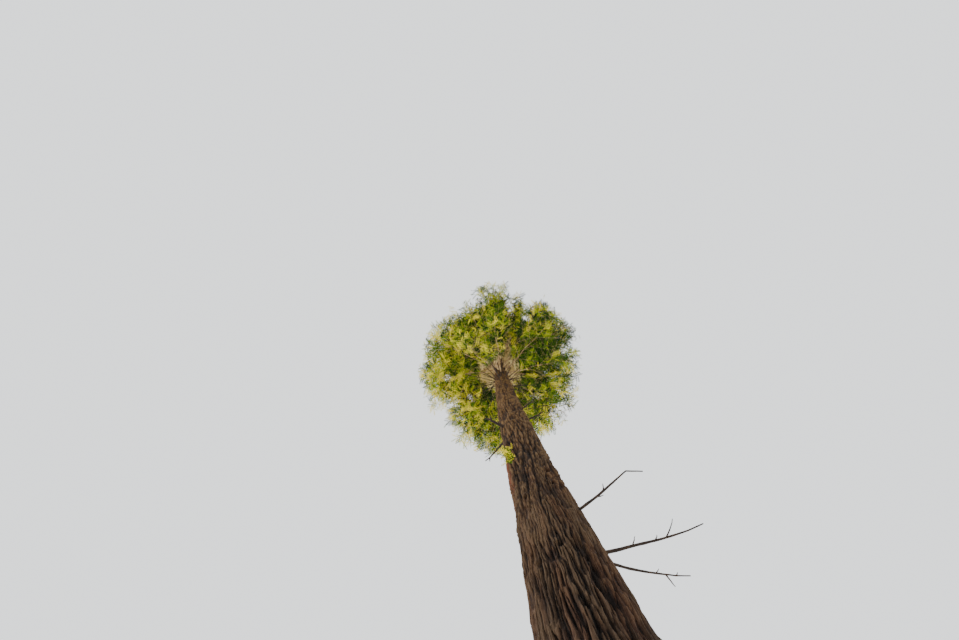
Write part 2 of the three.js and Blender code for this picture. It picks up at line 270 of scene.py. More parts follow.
# Where each noise starts to count, and where it counts in full
CLEFT_NOISE, PLATE_NOISE, STRAND_NOISE = (0.45, 0.8), (0.25, 0.8), (0.1, 0.9)
CHIP_NOISE, FLAKE_NOISE, CRACK_NOISE, TORN_NOISE = (0.64, 0.8), (0.66, 0.78), (0.78, 0.94), (0.1, 0.6)
CLEFT_WIDTH, PLATE_WIDTH, STRAND_WIDTH, LEAST_STRAND_WIDTH = 0.45, 0.75, 0.7, 0.12

# Depths and heights in metres
BARK_LIFT = 0.012
CLEFT_DEPTH, PLATE_DEPTH, STRAND_DEPTH, FIBRE_DEPTH = 0.04, 0.036, 0.024, 0.008
CHIP_DEPTH, FLAKE_DEPTH, CRACK_DEPTH, DEEP_CLEFT_DEPTH = 0.018, 0.02, 0.024, 0.07
WIDE_SWELL_HEIGHT, SMALL_SWELL_HEIGHT = 0.03, 0.04
PIT_DEPTH, PIT_RIM, PIT_HALF_WIDTH, PIT_TRUNK_RADIUS = 0.045, 0.014, 0.055, 0.6
BURL_HEIGHT, BURL_TRUNK_RADIUS = 0.65, 0.4  # the height is over the burl's half width
FULL_BARK_RADIUS = 0.62  # the bark is thinner where the trunk is slimmer than this

# How much darker than the ridges each of these is, as painted shade down in the bark's hollows
CLEFT_SHADE, PLATE_SHADE, STRAND_SHADE, FIBRE_SHADE = 0.8, 0.85, 0.75, 0.38
CHIP_SHADE, FLAKE_SHADE, CRACK_SHADE, DEEP_CLEFT_SHADE, PIT_SHADE = 0.6, 0.6, 0.75, 0.85, 0.9
HIGH_BOLE_LIGHT = 0.3  # how much lighter the ridges are among the cracks
print("the deepest cleft is", round(DEEP_CLEFT_DEPTH * 1000), "mm deep")

# %% Pits, burls, cleft and cracks: heights in metres and angles in degrees
PITS = [(7.31, -118), (5.64, -122), (4.7, -83), (5.49, -63), (7.6, -53), (8.86, -55), (8.11, -53)]
PITS += [(1.4 + 0.62 * k, 31 + 137.5 * k) for k in range(24)]
# Humps where limbs have been, each with half its width
BURLS = [(8.2 + 0.3 * k, 137.5 * k - 20, 0.05 + 0.02 * (k % 4)) for k in range(34)]
FRESH_STRIP = (7.1, 10.2, -157, 0.05, 0.45)  # foot, top, angle, half the width, the trunk's radius
DEEP_CLEFT = [(3.6, -47), (4.26, -51), (4.87, -56), (5.6, -61), (6.3, -63)]
DEEP_CLEFT_HALF_WIDTH, DEEP_CLEFT_TRUNK_RADIUS = 0.06, 0.62
END_FADE = 0.8  # the deep cleft and the fresh strip run out over this
HIGH_BOLE = (6.0, 8.5, 17.0, 20.0)  # cracked bark starts, is full, thins out and ends
CRACK_CELLS, CRACK_HEIGHT, CRACK_LEAN = 24, 0.42, 4.5
print(len(PITS), "pits and", len(BURLS), "burls")


# %% What is in one place on the trunk
def turned_by(angle, degrees):
    """How far an angle is from another one, the short way round."""
    return (angle - np.radians(degrees) + np.pi) % (2 * np.pi) - np.pi


def between(z, foot, top):
    """1 from one height to another, and fading at both ends."""
    return smooth(z, foot, foot + END_FADE) * (1 - smooth(z, top - END_FADE, top))


def fresh_bark(z, angle):
    """Where a strip of bark has peeled off the left flank, from 0 to 1."""
    foot, top, degrees, half_width, radius = FRESH_STRIP
    gap = turned_by(angle, degrees + 2 * np.sin(z * 1.7)) * radius / half_width
    torn = trunk_noise(angle / (2 * np.pi), z, *TORN_EDGE)
    return between(z, foot, top) * np.exp(-gap * gap) * smooth(torn, *TORN_NOISE)


# %% Patterns of the bark
def furrows(turn, z, pattern, width):
    """1 down in a furrow and 0 on the bark between. The width runs from 0, for no furrow, to 1."""
    wave, strength = ridge_waves(turn, z, *pattern)
    edge = -1.05 + 1.3 * width
    wall = lerp(-1.05, edge, FURROW_FLOOR)
    depth = 1 - smooth(wave, wall, np.maximum(edge, -1.0))
    return depth * smooth(strength, 0.0, 0.35) * smooth(width, 0, 0.15)


def deep_cleft(z, angle):
    """1 down in the one deep cleft on the right, which is ragged and broken, and 0 beside it."""
    turn = angle / (2 * np.pi)
    heights, degrees = zip(*DEEP_CLEFT)
    gap = turned_by(angle, np.interp(z, heights, degrees))
    gap = gap * DEEP_CLEFT_TRUNK_RADIUS / DEEP_CLEFT_HALF_WIDTH
    gap = gap + 1.6 * (trunk_noise(turn, z, *DEEP_CLEFT_EDGE) - 0.5)
    broken = smooth(trunk_noise(turn, z, *DEEP_CLEFT_BREAKS), 0.25, 0.55)
    return between(z, heights[0], heights[-1]) * broken * (1 - smooth(np.abs(gap), 0.5, 1.4))


def pits_and_burls(z, angle):
    """What pits and burls add to the relief, and the light that the pits leave."""
    ragged = 0.8 * (trunk_noise(angle / (2 * np.pi), z, *PIT_EDGE) - 0.5)
    relief, light = 0, 1
    for height, degrees in PITS:
        across = turned_by(angle, degrees) * PIT_TRUNK_RADIUS / PIT_HALF_WIDTH
        gap = np.hypot(across, (z - height) / PIT_HALF_WIDTH) + ragged
        pit = np.exp(-(np.maximum(gap, 0) ** 4))
        relief = relief + PIT_RIM * np.exp(-((gap - 1.7) ** 2)) - PIT_DEPTH * pit
        light = light * (1 - PIT_SHADE * pit)
    for height, degrees, half_width in BURLS:
        across = turned_by(angle, degrees) * BURL_TRUNK_RADIUS
        gap = np.hypot(across, z - height) / half_width + 0.8 * ragged
        relief = relief + BURL_HEIGHT * half_width * np.exp(-(np.maximum(gap, 0) ** 2))
    return relief, light


def high_bole(z):
    """How much of the upper bole's cracked bark a height has."""
    start, full, thinning, end = HIGH_BOLE
    return smooth(z, start, full) * (1 - smooth(z, thinning, end))


def cracks_across(turn, z):
    """Cracks that cross the ridges, leaning one way and the other, like a loose net."""
    cracks = 0
    for lean, seed in ((CRACK_LEAN, 25), (-CRACK_LEAN, 26)):
        net = soft_noise(turn * CRACK_CELLS + lean * z, z / CRACK_HEIGHT, CRACK_CELLS, seed)
        cracks = np.maximum(cracks, smooth(1 - np.abs(2 * net - 1), *CRACK_NOISE))
    return cracks


# %% The whole relief
def bark_relief(z, angle):
    """How far the bark stands out, how near it is to a ridge's top, with painted shade in the hollows, and
    its strand's own tint.
    """
    turn = angle / (2 * np.pi)
    bend = 0.6 * (trunk_noise(turn, z, *WIDE_BEND) - 0.5)
    bend = bend + 0.3 * (trunk_noise(turn, z, *FINE_BEND) - 0.5)
    bent = turn + bend / LOW_STRANDS[0]
    high = smooth(z, LOW_PATTERN_TOP, HIGH_PATTERN_FOOT)
    width = CLEFT_WIDTH * smooth(trunk_noise(turn, z, *CLEFT_PLACES), *CLEFT_NOISE)
    cleft = furrows(turn, z, CLEFTS, width)
    width = PLATE_WIDTH * smooth(trunk_noise(bent, z, *PLATE_WIDTHS), *PLATE_NOISE)
    plate = lerp(furrows(bent, z, LOW_PLATES, width), furrows(bent, z, HIGH_PLATES, width), high)
    width = STRAND_WIDTH * smooth(trunk_noise(bent, z, *STRAND_WIDTHS), *STRAND_NOISE)
    width = LEAST_STRAND_WIDTH + width
    strand = lerp(furrows(bent, z, LOW_STRANDS, width), furrows(bent, z, HIGH_STRANDS, width), high)
    wave, strength = ridge_waves(bent, z, *FIBRES)
    fibre = smooth(wave, -1.0, 0.7) * smooth(strength, 0.1, 0.6)
    chip = smooth(trunk_noise(bent, z, *CHIPS), *CHIP_NOISE)
    flake = smooth(trunk_noise(bent, z, *FLAKES), *FLAKE_NOISE)
    tint = 0.5 * trunk_noise(bent, z, *FINE_TINT) + 0.5 * trunk_noise(bent, z, *WIDE_TINT)
    deep = deep_cleft(z, angle)
    cracked, crack = high_bole(z), cracks_across(bent, z)
    lumps, pit_light = pits_and_burls(z, angle)

    relief = BARK_LIFT - CLEFT_DEPTH * cleft - PLATE_DEPTH * plate - STRAND_DEPTH * strand
    relief = relief + FIBRE_DEPTH * (fibre - 0.6) - CHIP_DEPTH * chip - FLAKE_DEPTH * flake
    relief = relief + WIDE_SWELL_HEIGHT * (trunk_noise(turn, z, *WIDE_SWELLS) - 0.5)
    relief = relief + SMALL_SWELL_HEIGHT * (trunk_noise(turn, z, *SMALL_SWELLS) - 0.5)
    relief = relief - DEEP_CLEFT_DEPTH * deep - CRACK_DEPTH * cracked * crack + lumps
    # The ridge value holds painted shade: it is darker down in clefts, furrows, chips, flakes, cracks and
    # pits
    ridge = (1 - CLEFT_SHADE * cleft) * (1 - PLATE_SHADE * plate) * (1 - STRAND_SHADE * strand)
    ridge = ridge * (1 - FIBRE_SHADE * (1 - fibre)) * (0.7 + 0.5 * tint)
    ridge = ridge * (1 - CHIP_SHADE * chip) * (1 - FLAKE_SHADE * flake) * (1 - DEEP_CLEFT_SHADE * deep)
    ridge = ridge * pit_light * (1 + cracked * (HIGH_BOLE_LIGHT - CRACK_SHADE * crack))
    scale = np.clip(bole_radius(z) / FULL_BARK_RADIUS, 0.12, 1.15)
    return relief * scale, np.clip(ridge, 0, 1), tint


sample = bark_relief(np.linspace(1, 12, 4000), np.linspace(0, 40, 4000))
print("relief from", round(sample[0].min() * 1000), "to", round(sample[0].max() * 1000), "mm")

# %% [markdown]
# ## The trunk's sections
# A grid is a good start for bark: it is added flat, with as many columns as the girth needs, and then
# every point is carried round the trunk. Its two edges meet, so they are merged, and both ends are
# filled. The lower bole is closest to the eye and has the finest grid. Each section starts a little
# inside the one below it.

# %% Trunk sections
SECTION_OVERLAP = 0.05
SECTIONS = [  # name, foot, top, columns, rings
    ("butt", 0.0, 3.4, 384, 64),
    ("lower_bole", 3.4, 8.2, 480, 150),
    ("upper_bole", 8.2, 16.6, 360, 170),
    ("crown_bole", 16.6, 28.0, 240, 150),
    ("leader", 28.0, TREE_HEIGHT, 120, 120),
]


def wrap_section(name, foot, top, columns, rings):
    """One length of the trunk, with its bark."""
    bpy.ops.object.select_all(action="DESELECT")
    bpy.ops.mesh.primitive_grid_add(x_subdivisions=columns, y_subdivisions=rings, size=1)
    piece = bpy.context.object
    piece.name = piece.data.name = "trunk_" + name
    flat = np.empty(len(piece.data.vertices) * 3)
    piece.data.vertices.foreach_get("co", flat)
    flat = flat.reshape(-1, 3)
    angle = (flat[:, 0] + 0.5) * 2 * np.pi
    start = foot - SECTION_OVERLAP if foot else 0.0
    z = start + (flat[:, 1] + 0.5) * (top - start)
    relief, ridge, tint = bark_relief(z, angle)
    out = np.maximum(trunk_radius(z, angle) + relief, TIP_RADIUS * 0.5)
    place = trunk_centre(z)
    place[:, 0] += out * np.cos(angle)
    place[:, 1] += out * np.sin(angle)
    piece.data.vertices.foreach_set("co", place.ravel())
    for name, values in (("ridge", ridge), ("fresh", fresh_bark(z, angle)), ("tint", tint)):
        piece.data.attributes.new(name, "FLOAT", "POINT").data.foreach_set("value", values)
    bpy.ops.object.mode_set(mode="EDIT")
    bpy.ops.mesh.select_all(action="SELECT")
    bpy.ops.mesh.remove_doubles(threshold=1e-5)
    bpy.ops.mesh.fill_holes(sides=0)
    bpy.ops.mesh.normals_make_consistent(inside=False)
    bpy.ops.object.mode_set(mode="OBJECT")
    bpy.ops.object.shade_smooth_by_angle(angle=math.radians(60))
    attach(piece, "root")
    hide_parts("trunk")
    print(piece.name, len(piece.data.vertices), "points")
    return piece


trunk = [wrap_section(*section) for section in SECTIONS]

# %% [markdown]
# ## The bark's finish
# Old redwood bark weathers to a greyish brown on its ridges, with warm red-brown where it has flaked,
# and it is nearly black down in the furrows, which is darker bark and painted shade. Higher up the bark
# is younger, thinner and warmer, and the darker bark lower down is partly painted shade. It is dry and
# dead matt. The ridge attribute says how high a place stands and carries the painted shade of the
# hollows, and noise that is stretched along the trunk draws the fibres.

# %% Bark material
FIBRE_WIDTH_MM = 14  # drawn coarser than the real 2 mm, so that it shows from the foot of the tree
FIBRE_LENGTH_MM = 260
FIBRES_PER_METRE = (1000 / FIBRE_WIDTH_MM, 1000 / FIBRE_WIDTH_MM, 1000 / FIBRE_LENGTH_MM)
PATCHES_PER_METRE = (3.2, 3.2, 0.7)
# Between these heights the bark turns younger and warmer; its darker bark lower down is partly painted shade
YOUNG_BARK_FOOT, YOUNG_BARK_FULL = 4.0, 15.0
# Colours from the furrows' depth, dark with painted shade, to the ridges' tops
WEATHERED = [(0.02, "#0a0503"), (0.13, "#2d2015"), (0.36, "#453628"), (0.75, "#4a3b2d")]
FLAKED = [(0.02, "#0c0503"), (0.13, "#321c12"), (0.36, "#4a3122"), (0.75, "#503929")]
YOUNG = [(0.03, "#180c04"), (0.15, "#42290b"), (0.34, "#5f4420"), (0.62, "#7a5d34")]
FRESH = "#6e3722"

bark, tree = new_material("weathered_fibrous_bark")
place = add_node(tree, "ShaderNodeTexCoord").outputs["Object"]
# The ridge attribute carries the painted shade of the bark's hollows
ridge, tint, fresh = (
    add_node(tree, "ShaderNodeAttribute", attribute_name=name).outputs["Fac"]
    for name in ("ridge", "tint", "fresh")
)
patterns = []
for scale, detail in ((FIBRES_PER_METRE, 3.0), (PATCHES_PER_METRE, 4.0)):
    spot = add_node(tree, "ShaderNodeMapping", {"Vector": place, "Scale": scale}).outputs["Vector"]
    inputs = {"Vector": spot, "Scale": 1.0, "Detail": detail, "Roughness": 0.6}
    patterns.append(add_node(tree, "ShaderNodeTexNoise", inputs).outputs["Fac"])
fibres, patches = patterns
inputs = {"Value": fibres, "From Min": 0.3, "From Max": 0.7, "To Min": 0.14, "To Max": 0.88}
fibre_light = add_node(tree, "ShaderNodeMapRange", inputs).outputs["Result"]
inputs = {0: ridge, 1: fibre_light}
depth = add_node(tree, "ShaderNodeMath", inputs, operation="MULTIPLY").outputs["Value"]
weathered, flaked, young = (
    add_node(tree, "ShaderNodeValToRGB", {"Fac": depth}, stops=stops).outputs["Color"]
    for stops in (WEATHERED, FLAKED, YOUNG)
)
flakes = add_node(tree, "ShaderNodeMath", {0: patches, 1: tint}, operation="ADD").outputs["Value"]
inputs = {"Value": flakes, "From Min": 0.9, "From Max": 1.3, "To Min": 0.0, "To Max": 0.7}
flake_share = add_node(tree, "ShaderNodeMapRange", inputs).outputs["Result"]
# Younger, warmer bark with height, and partly painted shade lower down
height = add_node(tree, "ShaderNodeSeparateXYZ", {"Vector": place}).outputs["Z"]
inputs = {"Value": height, "From Min": YOUNG_BARK_FOOT, "From Max": YOUNG_BARK_FULL, "To Max": 0.9}
young_share = add_node(tree, "ShaderNodeMapRange", inputs).outputs["Result"]
bark_colour = weathered
for share, other in ((flake_share, flaked), (young_share, young), (fresh, colour(FRESH))):
    inputs = {0: share, 6: bark_colour, 7: other}
    bark_colour = add_node(tree, "ShaderNodeMix", inputs, data_type="RGBA").outputs[2]
inputs = {"Height": fibres, "Strength": 0.9, "Distance": 0.02}
raised = add_node(tree, "ShaderNodeBump", inputs).outputs["Normal"]
inputs = {"Base Color": bark_colour, "Roughness": 0.95, "Specular IOR Level": 0.2, "Normal": raised}
shader = add_node(tree, "ShaderNodeBsdfPrincipled", inputs)
add_node(tree, "ShaderNodeOutputMaterial", {"Surface": shader.outputs["BSDF"]})
for piece in trunk:
    piece.data.materials.clear()
    piece.data.materials.append(bark)
print("bark on", len(trunk), "sections")

# %% [markdown]
# ## The crown's spaces
# The masses of foliage follow one ramp that climbs round the trunk, as in the solid model. Each has a
# space of its own: a slice of the ramp that droops as it runs outwards. What grows in a space stays in
# it, so the finer twigs made here reach just as far as the solids do.

# %% Crown rules
CROWN_BASE = 18.6
CROWN_RADIUS = 4.1
FOOT_SHARE, FOOT_GAIN, CROWN_POWER = 0.72, 1.6, 0.62
LOW_DROOP, TOP_DROOP, LAYER_WAVE = 0.34, -0.12, 0.11
RAMP_TURNS = 8.15
RAMP_START = -0.36  # the compass turn that the ramp starts at
LOWEST_TURN = 2.89
TURN_SHRINK = 0.953
LOW_SPAN, TOP_SPAN = 0.2, 0.3
BOUGHS = 18
REACH_SPREAD = 0.1
THINNEST_LIMB = 0.55  # the smallest limb over the largest
SPACE_MARGIN = 0.02  # what is left free inside a space's edges
BOX_MARGIN = 0.05  # how far a spray's needles may pass the solid model's box

UP = np.array([0.0, 0.0, 1.0])
GOLDEN_ANGLE = math.pi * (3 - math.sqrt(5))


def chance(seed, salt):
    """A number from 0 to 1 that only depends on its two seeds."""
    wave = math.sin(seed * 127.1 + salt * 311.7) * 43758.5453
    return wave - math.floor(wave)


def spread(seed, salt, reach):
    """A number from minus the reach to the reach."""
    return (chance(seed, salt) * 2 - 1) * reach


def crown_share(z):
    return np.clip((z - CROWN_BASE) / (TREE_HEIGHT - CROWN_BASE), 0, 1)


def crown_radius(z):
    share = crown_share(z)
    return CROWN_RADIUS * np.minimum(1, FOOT_SHARE + FOOT_GAIN * share) * (1 - share) ** CROWN_POWER


def droop_at(z):
    return lerp(LOW_DROOP, TOP_DROOP, crown_share(z))


def layer_of(points):
    """How high the drooping layer that a point lies in leaves the trunk."""
    turn = np.arctan2(points[..., 1], points[..., 0])
    wave = 0.6 * np.sin(2 * turn + 1.3) + 0.4 * np.sin(3 * turn - 0.6)
    out = np.hypot(points[..., 0], points[..., 1])
    return points[..., 2] + out * (droop_at(points[..., 2]) + LAYER_WAVE * wave)


def ramp_height(place):
    """How high the ramp has climbed after so many turns."""
    return CROWN_BASE + LOWEST_TURN * (1 - TURN_SHRINK**place) / (1 - TURN_SHRINK)


print("the crown is widest at", round(2 * CROWN_RADIUS, 1), "m across")

# %% One space for each mass of foliage
starts = [0.0]
while starts[-1] < RAMP_TURNS:
    starts.append(starts[-1] + lerp(LOW_SPAN, TOP_SPAN, starts[-1] / RAMP_TURNS))
starts, ramp_end = np.array(starts[:-1]), starts[-1]
ends = np.append(starts[1:], ramp_end)
MASSES = len(starts)
middles, halves = (starts + ends) / 2, (ends - starts) / 2
compass = middles + RAMP_START
floors, ceilings = ramp_height(middles), ramp_height(middles + 1)
opens = starts + 1 >= ramp_end
reaches = np.array([1 + spread(i + 1, 1, REACH_SPREAD) for i in range(MASSES)])
sizes = lerp(THINNEST_LIMB, 1, crown_radius(floors) / CROWN_RADIUS)
BOX_LOW = np.array(cad_box[0]) - BOX_MARGIN
BOX_HIGH = np.array(cad_box[1]) + BOX_MARGIN


def in_space(mass, points):
    """Whether points lie in the spaces of these masses, counted from 0."""
    layer = layer_of(points)
    out = np.hypot(points[..., 0], points[..., 1])
    turns = np.arctan2(points[..., 1], points[..., 0]) / (2 * np.pi) - compass[mass]
    off = turns - np.round(turns)
    side_gap = out * np.sin(np.minimum(2 * np.pi * (halves[mass] - np.abs(off)), np.pi / 2))
    place = middles[mass] + off
    inside = (layer > ramp_height(place) + SPACE_MARGIN) & (side_gap > SPACE_MARGIN)
    inside &= opens[mass] | (layer < ramp_height(place + 1) - SPACE_MARGIN)
    inside &= (out < crown_radius(points[..., 2]) * reaches[mass]) & (out > bole_radius(points[..., 2]))
    inside &= points[..., 2] < TREE_HEIGHT
    return inside & np.all((points > BOX_LOW) & (points < BOX_HIGH), axis=-1)


print(MASSES, "masses from", round(float(floors[0]), 2), "to", round(float(floors[-1]), 2), "m")

# %% [markdown]
# ## Limbs
# A redwood's limbs leave the trunk almost level, lift a little and then droop to their tips. Each space
# has the one limb that the solid model has, and here a few more between it and the next space. Tubes
# are made from arrays, all at once, since there are thousands of twigs to come.

# %% Limb rules
BOUGH_RADIUS = 0.046
LIMB_TO_TRUNK = 0.5
TAPER_POWER = 0.8
LIMB_RISE, LIMB_SIDE, LIMB_REACH = 0.1, 0.07, 0.93
LIMB_HEIGHT_SPREAD, LIMB_ANGLE_SPREAD = 0.12, 0.25
LIMB_TAPER = 0.93
TOP_GAP = 0.25
EXTRA_LIMBS = 5  # thinner limbs beside the one that the solid model has
LOW_MASSES, LOW_EXTRA_LIMBS = 7, 8  # the lowest ones have more of them
EXTRA_LENGTHS, EXTRA_RADII = (0.62, 1), (0.45, 0.75)  # over those of the main limb
SHORTEST_EXTRA = 0.45  # the share of such a limb that has to fit in its space
LIMB_SAMPLES = 40


def heading_of(angle, rise):
    return np.array([math.cos(angle), math.sin(angle), rise])


def bezier(curve, share):
    """Points on a curve of three corners, for many shares or many curves at once."""
    root, bend, tip = curve
    s = np.asarray(share)[..., None]
    return root * (1 - s) ** 2 + bend * 2 * s * (1 - s) + tip * s * s


def limb_curve(z, angle, length, side, rise):
    """A limb's root, bend and tip: it rises at first, sways a little, and droops."""
    heading = heading_of(angle, -float(droop_at(z)))
    root = trunk_centre(np.float64(z))
    tip = root + heading * length
    bend = root + heading * length / 2 + heading_of(angle + math.pi / 2, 0) * length * side
    return np.array([root, bend + UP * 2 * rise * length, tip])


# %% Growing the limbs
def main_limb(mass, top, radius):
    """The limb that the solid model has in this space too."""
    seed = mass + 1
    z = lerp(floors[mass], top, 0.5 + spread(seed, 2, LIMB_HEIGHT_SPREAD))
    angle = 2 * math.pi * (compass[mass] + spread(seed, 3, LIMB_ANGLE_SPREAD * halves[mass]))
    length = float(crown_radius(z)) * reaches[mass] * LIMB_REACH
    curve = limb_curve(z, angle, length, spread(seed, 4, LIMB_SIDE), LIMB_RISE)
    return {"mass": mass, "seed": seed, "curve": curve, "radius": radius, "main": True}


def extra_limb(mass, top, radius, k, count):
    """A thinner limb that ends where it would leave its space, or nothing if that is too soon."""
    seed, salt = mass + 1, 100 + 10 * k
    off = (k + 0.5) / count * 2 - 1
    z = lerp(floors[mass], top, 0.5 + 0.36 * math.cos(2.4 * k + seed) + spread(seed, salt, 0.06))
    angle = 2 * math.pi * (compass[mass] + halves[mass] * (0.8 * off + spread(seed, salt + 1, 0.16)))
    length = float(crown_radius(z)) * reaches[mass] * LIMB_REACH
    length *= lerp(*EXTRA_LENGTHS, chance(seed, salt + 2))
    curve = limb_curve(z, angle, length, spread(seed, salt + 3, LIMB_SIDE), LIMB_RISE * 0.8)
    shares = np.linspace(0, 1, LIMB_SAMPLES)
    places = bezier(curve, shares)
    clear = np.hypot(places[:, 0], places[:, 1]) > bole_radius(places[:, 2]) + 0.15
    lost = clear & ~in_space(np.full(LIMB_SAMPLES, mass), places)
    reach = shares[np.argmax(lost)] if lost.any() else 1.0
    if reach < SHORTEST_EXTRA:
        return None
    root, middle, tip = bezier(curve, np.array([0, reach / 2, reach]))
    curve = np.array([root, 2 * middle - (root + tip) / 2, tip])
    radius *= lerp(*EXTRA_RADII, chance(seed, salt + 4))
    return {"mass": mass, "seed": seed * 10 + k + 200, "curve": curve, "radius": radius, "main": False}


def grow_limbs():
    """The main limb and the thinner ones of every space."""
    limbs = []
    for mass in range(MASSES):
        top = min(ceilings[mass], TREE_HEIGHT - TOP_GAP)
        thick = min(ceilings[mass], TREE_HEIGHT - 2 * TOP_GAP)
        radius = min(BOUGH_RADIUS * sizes[mass], LIMB_TO_TRUNK * float(bole_radius(thick)))
        count = LOW_EXTRA_LIMBS if mass < LOW_MASSES else EXTRA_LIMBS
        extra = [extra_limb(mass, top, radius, k, count) for k in range(count)]
        limbs += [main_limb(mass, top, radius)] + [limb for limb in extra if limb]
    return limbs


limbs = grow_limbs()
print(len(limbs), "limbs")


# %% Tubes and mesh pieces
def unit(vectors, least=0.0):
    """The vectors at a length of 1, apart from any shorter than the least."""
    return vectors / np.maximum(np.linalg.norm(vectors, axis=-1, keepdims=True), least)


def tubes(points, radii, sides, relief=0.0, seed=0):
    """Round tubes along many lines at once: the points and triangles of all of them."""
    lines, rings = points.shape[:2]
    tangent = unit(np.gradient(points, axis=1))
    side = unit(np.cross(tangent, UP), 1e-6)
    lift = np.cross(side, tangent)
    turn = np.arange(sides) * 2 * np.pi / sides
    size = radii[:, :, None, None] * np.ones((1, 1, sides, 1))
    if relief:
        size = size * (1 + relief * (np.random.default_rng(seed).random(size.shape) - 0.5))
    ring = side[:, :, None] * np.cos(turn)[:, None] + lift[:, :, None] * np.sin(turn)[:, None]
    skin = points[:, :, None] + ring * size
    k, j = np.meshgrid(np.arange(rings - 1), np.arange(sides), indexing="ij")
    a, b = k * sides + j, k * sides + (j + 1) % sides
    walls = np.stack([a, a + sides, b, b, a + sides, b + sides], axis=-1).reshape(-1, 3)
    fan = np.arange(1, sides - 1)
    foot = np.stack([0 * fan, fan, fan + 1], axis=-1)
    cap = foot[:, ::-1] + (rings - 1) * sides
    faces = np.concatenate([walls, foot, cap])
    offsets = np.arange(lines)[:, None, None] * rings * sides
    return skin.reshape(-1, 3), (faces[None] + offsets).reshape(-1, 3)


def joined(*groups):
    """One list of points and one of triangles from several."""
    skins, faces, count = [], [], 0
    for skin, face in groups:
        skins.append(skin)
        faces.append(face + count)
        count += len(skin)
    return np.concatenate(skins), np.concatenate(faces)


def mesh_piece(name, skin, faces, material, replaced, smooth=False):
    """A mesh object from arrays, riding on the tree."""
    mesh = bpy.data.meshes.new(name)
    mesh.vertices.add(len(skin))
    mesh.vertices.foreach_set("co", skin.astype(np.float32).ravel())
    mesh.loops.add(faces.size)
    mesh.loops.foreach_set("vertex_index", faces.astype(np.int32).ravel())
    mesh.polygons.add(len(faces))
    mesh.polygons.foreach_set("loop_start", np.arange(0, faces.size, 3, dtype=np.int32))
    mesh.update(calc_edges=True)
    mesh.materials.append(material)
    piece = bpy.data.objects.new(name, mesh)
    bpy.context.collection.objects.link(piece)
    if smooth:
        mesh.shade_smooth()
    else:
        mesh.shade_flat()
    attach(piece, "root")
    if replaced:
        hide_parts(*replaced)
    print(name, len(faces), "triangles")


# %% [markdown]
# ## Branches
# Side branches wind round a limb by the golden angle, as in the solid model, and are flattened towards
# the limb's own layer. Long ones carry branches of their own, in turn to the left and to the right.
# Every branch is one record of numbers, so the next step can work on all of them together.

# %% Branch rules
TWIG_SPREAD = 1.0
TWIG_FLATTEN = 0.75
FINE_FLATTEN = 0.6
LONGEST_TWIG = 2.6
SOURCE_TWIGS = 5  # the long side twigs that the solid model has
BRANCH_STEP = 0.14
BRANCH_LENGTH = 1.1
LOW_BARE, TOP_BARE = 0.22, 0.04  # the share of a limb next to the trunk that has no foliage
SHORTEST_BRANCH, SHORTEST_TWIG, SHORTEST_SHOOT = 0.12, 0.3, 0.08
BRANCH_THICKNESS, TWIG_THICKNESS = 0.32, 0.42  # over their limb's, where it leaves the trunk
THINNING = 0.6  # how much thinner they are at their limb's tip
LAST_BRANCH, LAST_TWIG = 0.97, 0.92  # the share of the limb where the last one stands
BRANCH_STOP, TWIG_STOP = 0.98, 0.97  # they end this near to their space's edge
SHOOTS = 500  # small branches straight from the trunk, all the way to its tip
SHOOT_LENGTH, SHOOT_RADIUS = 0.75, 0.008
SHOOTS_FOOT = 2.8  # above the crown's foot
SUB_STEP, SUB_ANGLE = 0.13, 0.85
SUB_LENGTH, SUB_THICKNESS = 0.62, 0.45
LONG_ENOUGH = 0.35  # a branch of this length carries finer ones
BRANCH_DROOP = 0.26
RUN_STEPS = 40


def limb_tangent(curve, share):
    """The way a limb runs at a place."""
    root, bend, tip = curve
    along = (bend - root) * (1 - share) + (tip - bend) * share
    return along / np.linalg.norm(along)


def twig_heading(curve, share, roll, flatten):
    """Where a branch points that stands on a limb, rolled round it by this angle."""
    tangent = limb_tangent(curve, share)
    side = np.cross(tangent, UP)
    side /= np.linalg.norm(side)
    made = tangent * math.cos(TWIG_SPREAD) + side * math.cos(roll) * math.sin(TWIG_SPREAD)
    made = made + UP * math.sin(roll) * math.sin(TWIG_SPREAD) * flatten
    return made / np.linalg.norm(made)


def run_inside(mass, start, heading, most):
    """How far a line runs before it leaves its mass's space."""
    steps = np.linspace(0, most, RUN_STEPS + 1)[1:]
    inside = in_space(np.full(RUN_STEPS, mass), start + heading * steps[:, None])
    return most if inside.all() else most * np.argmin(inside) / RUN_STEPS


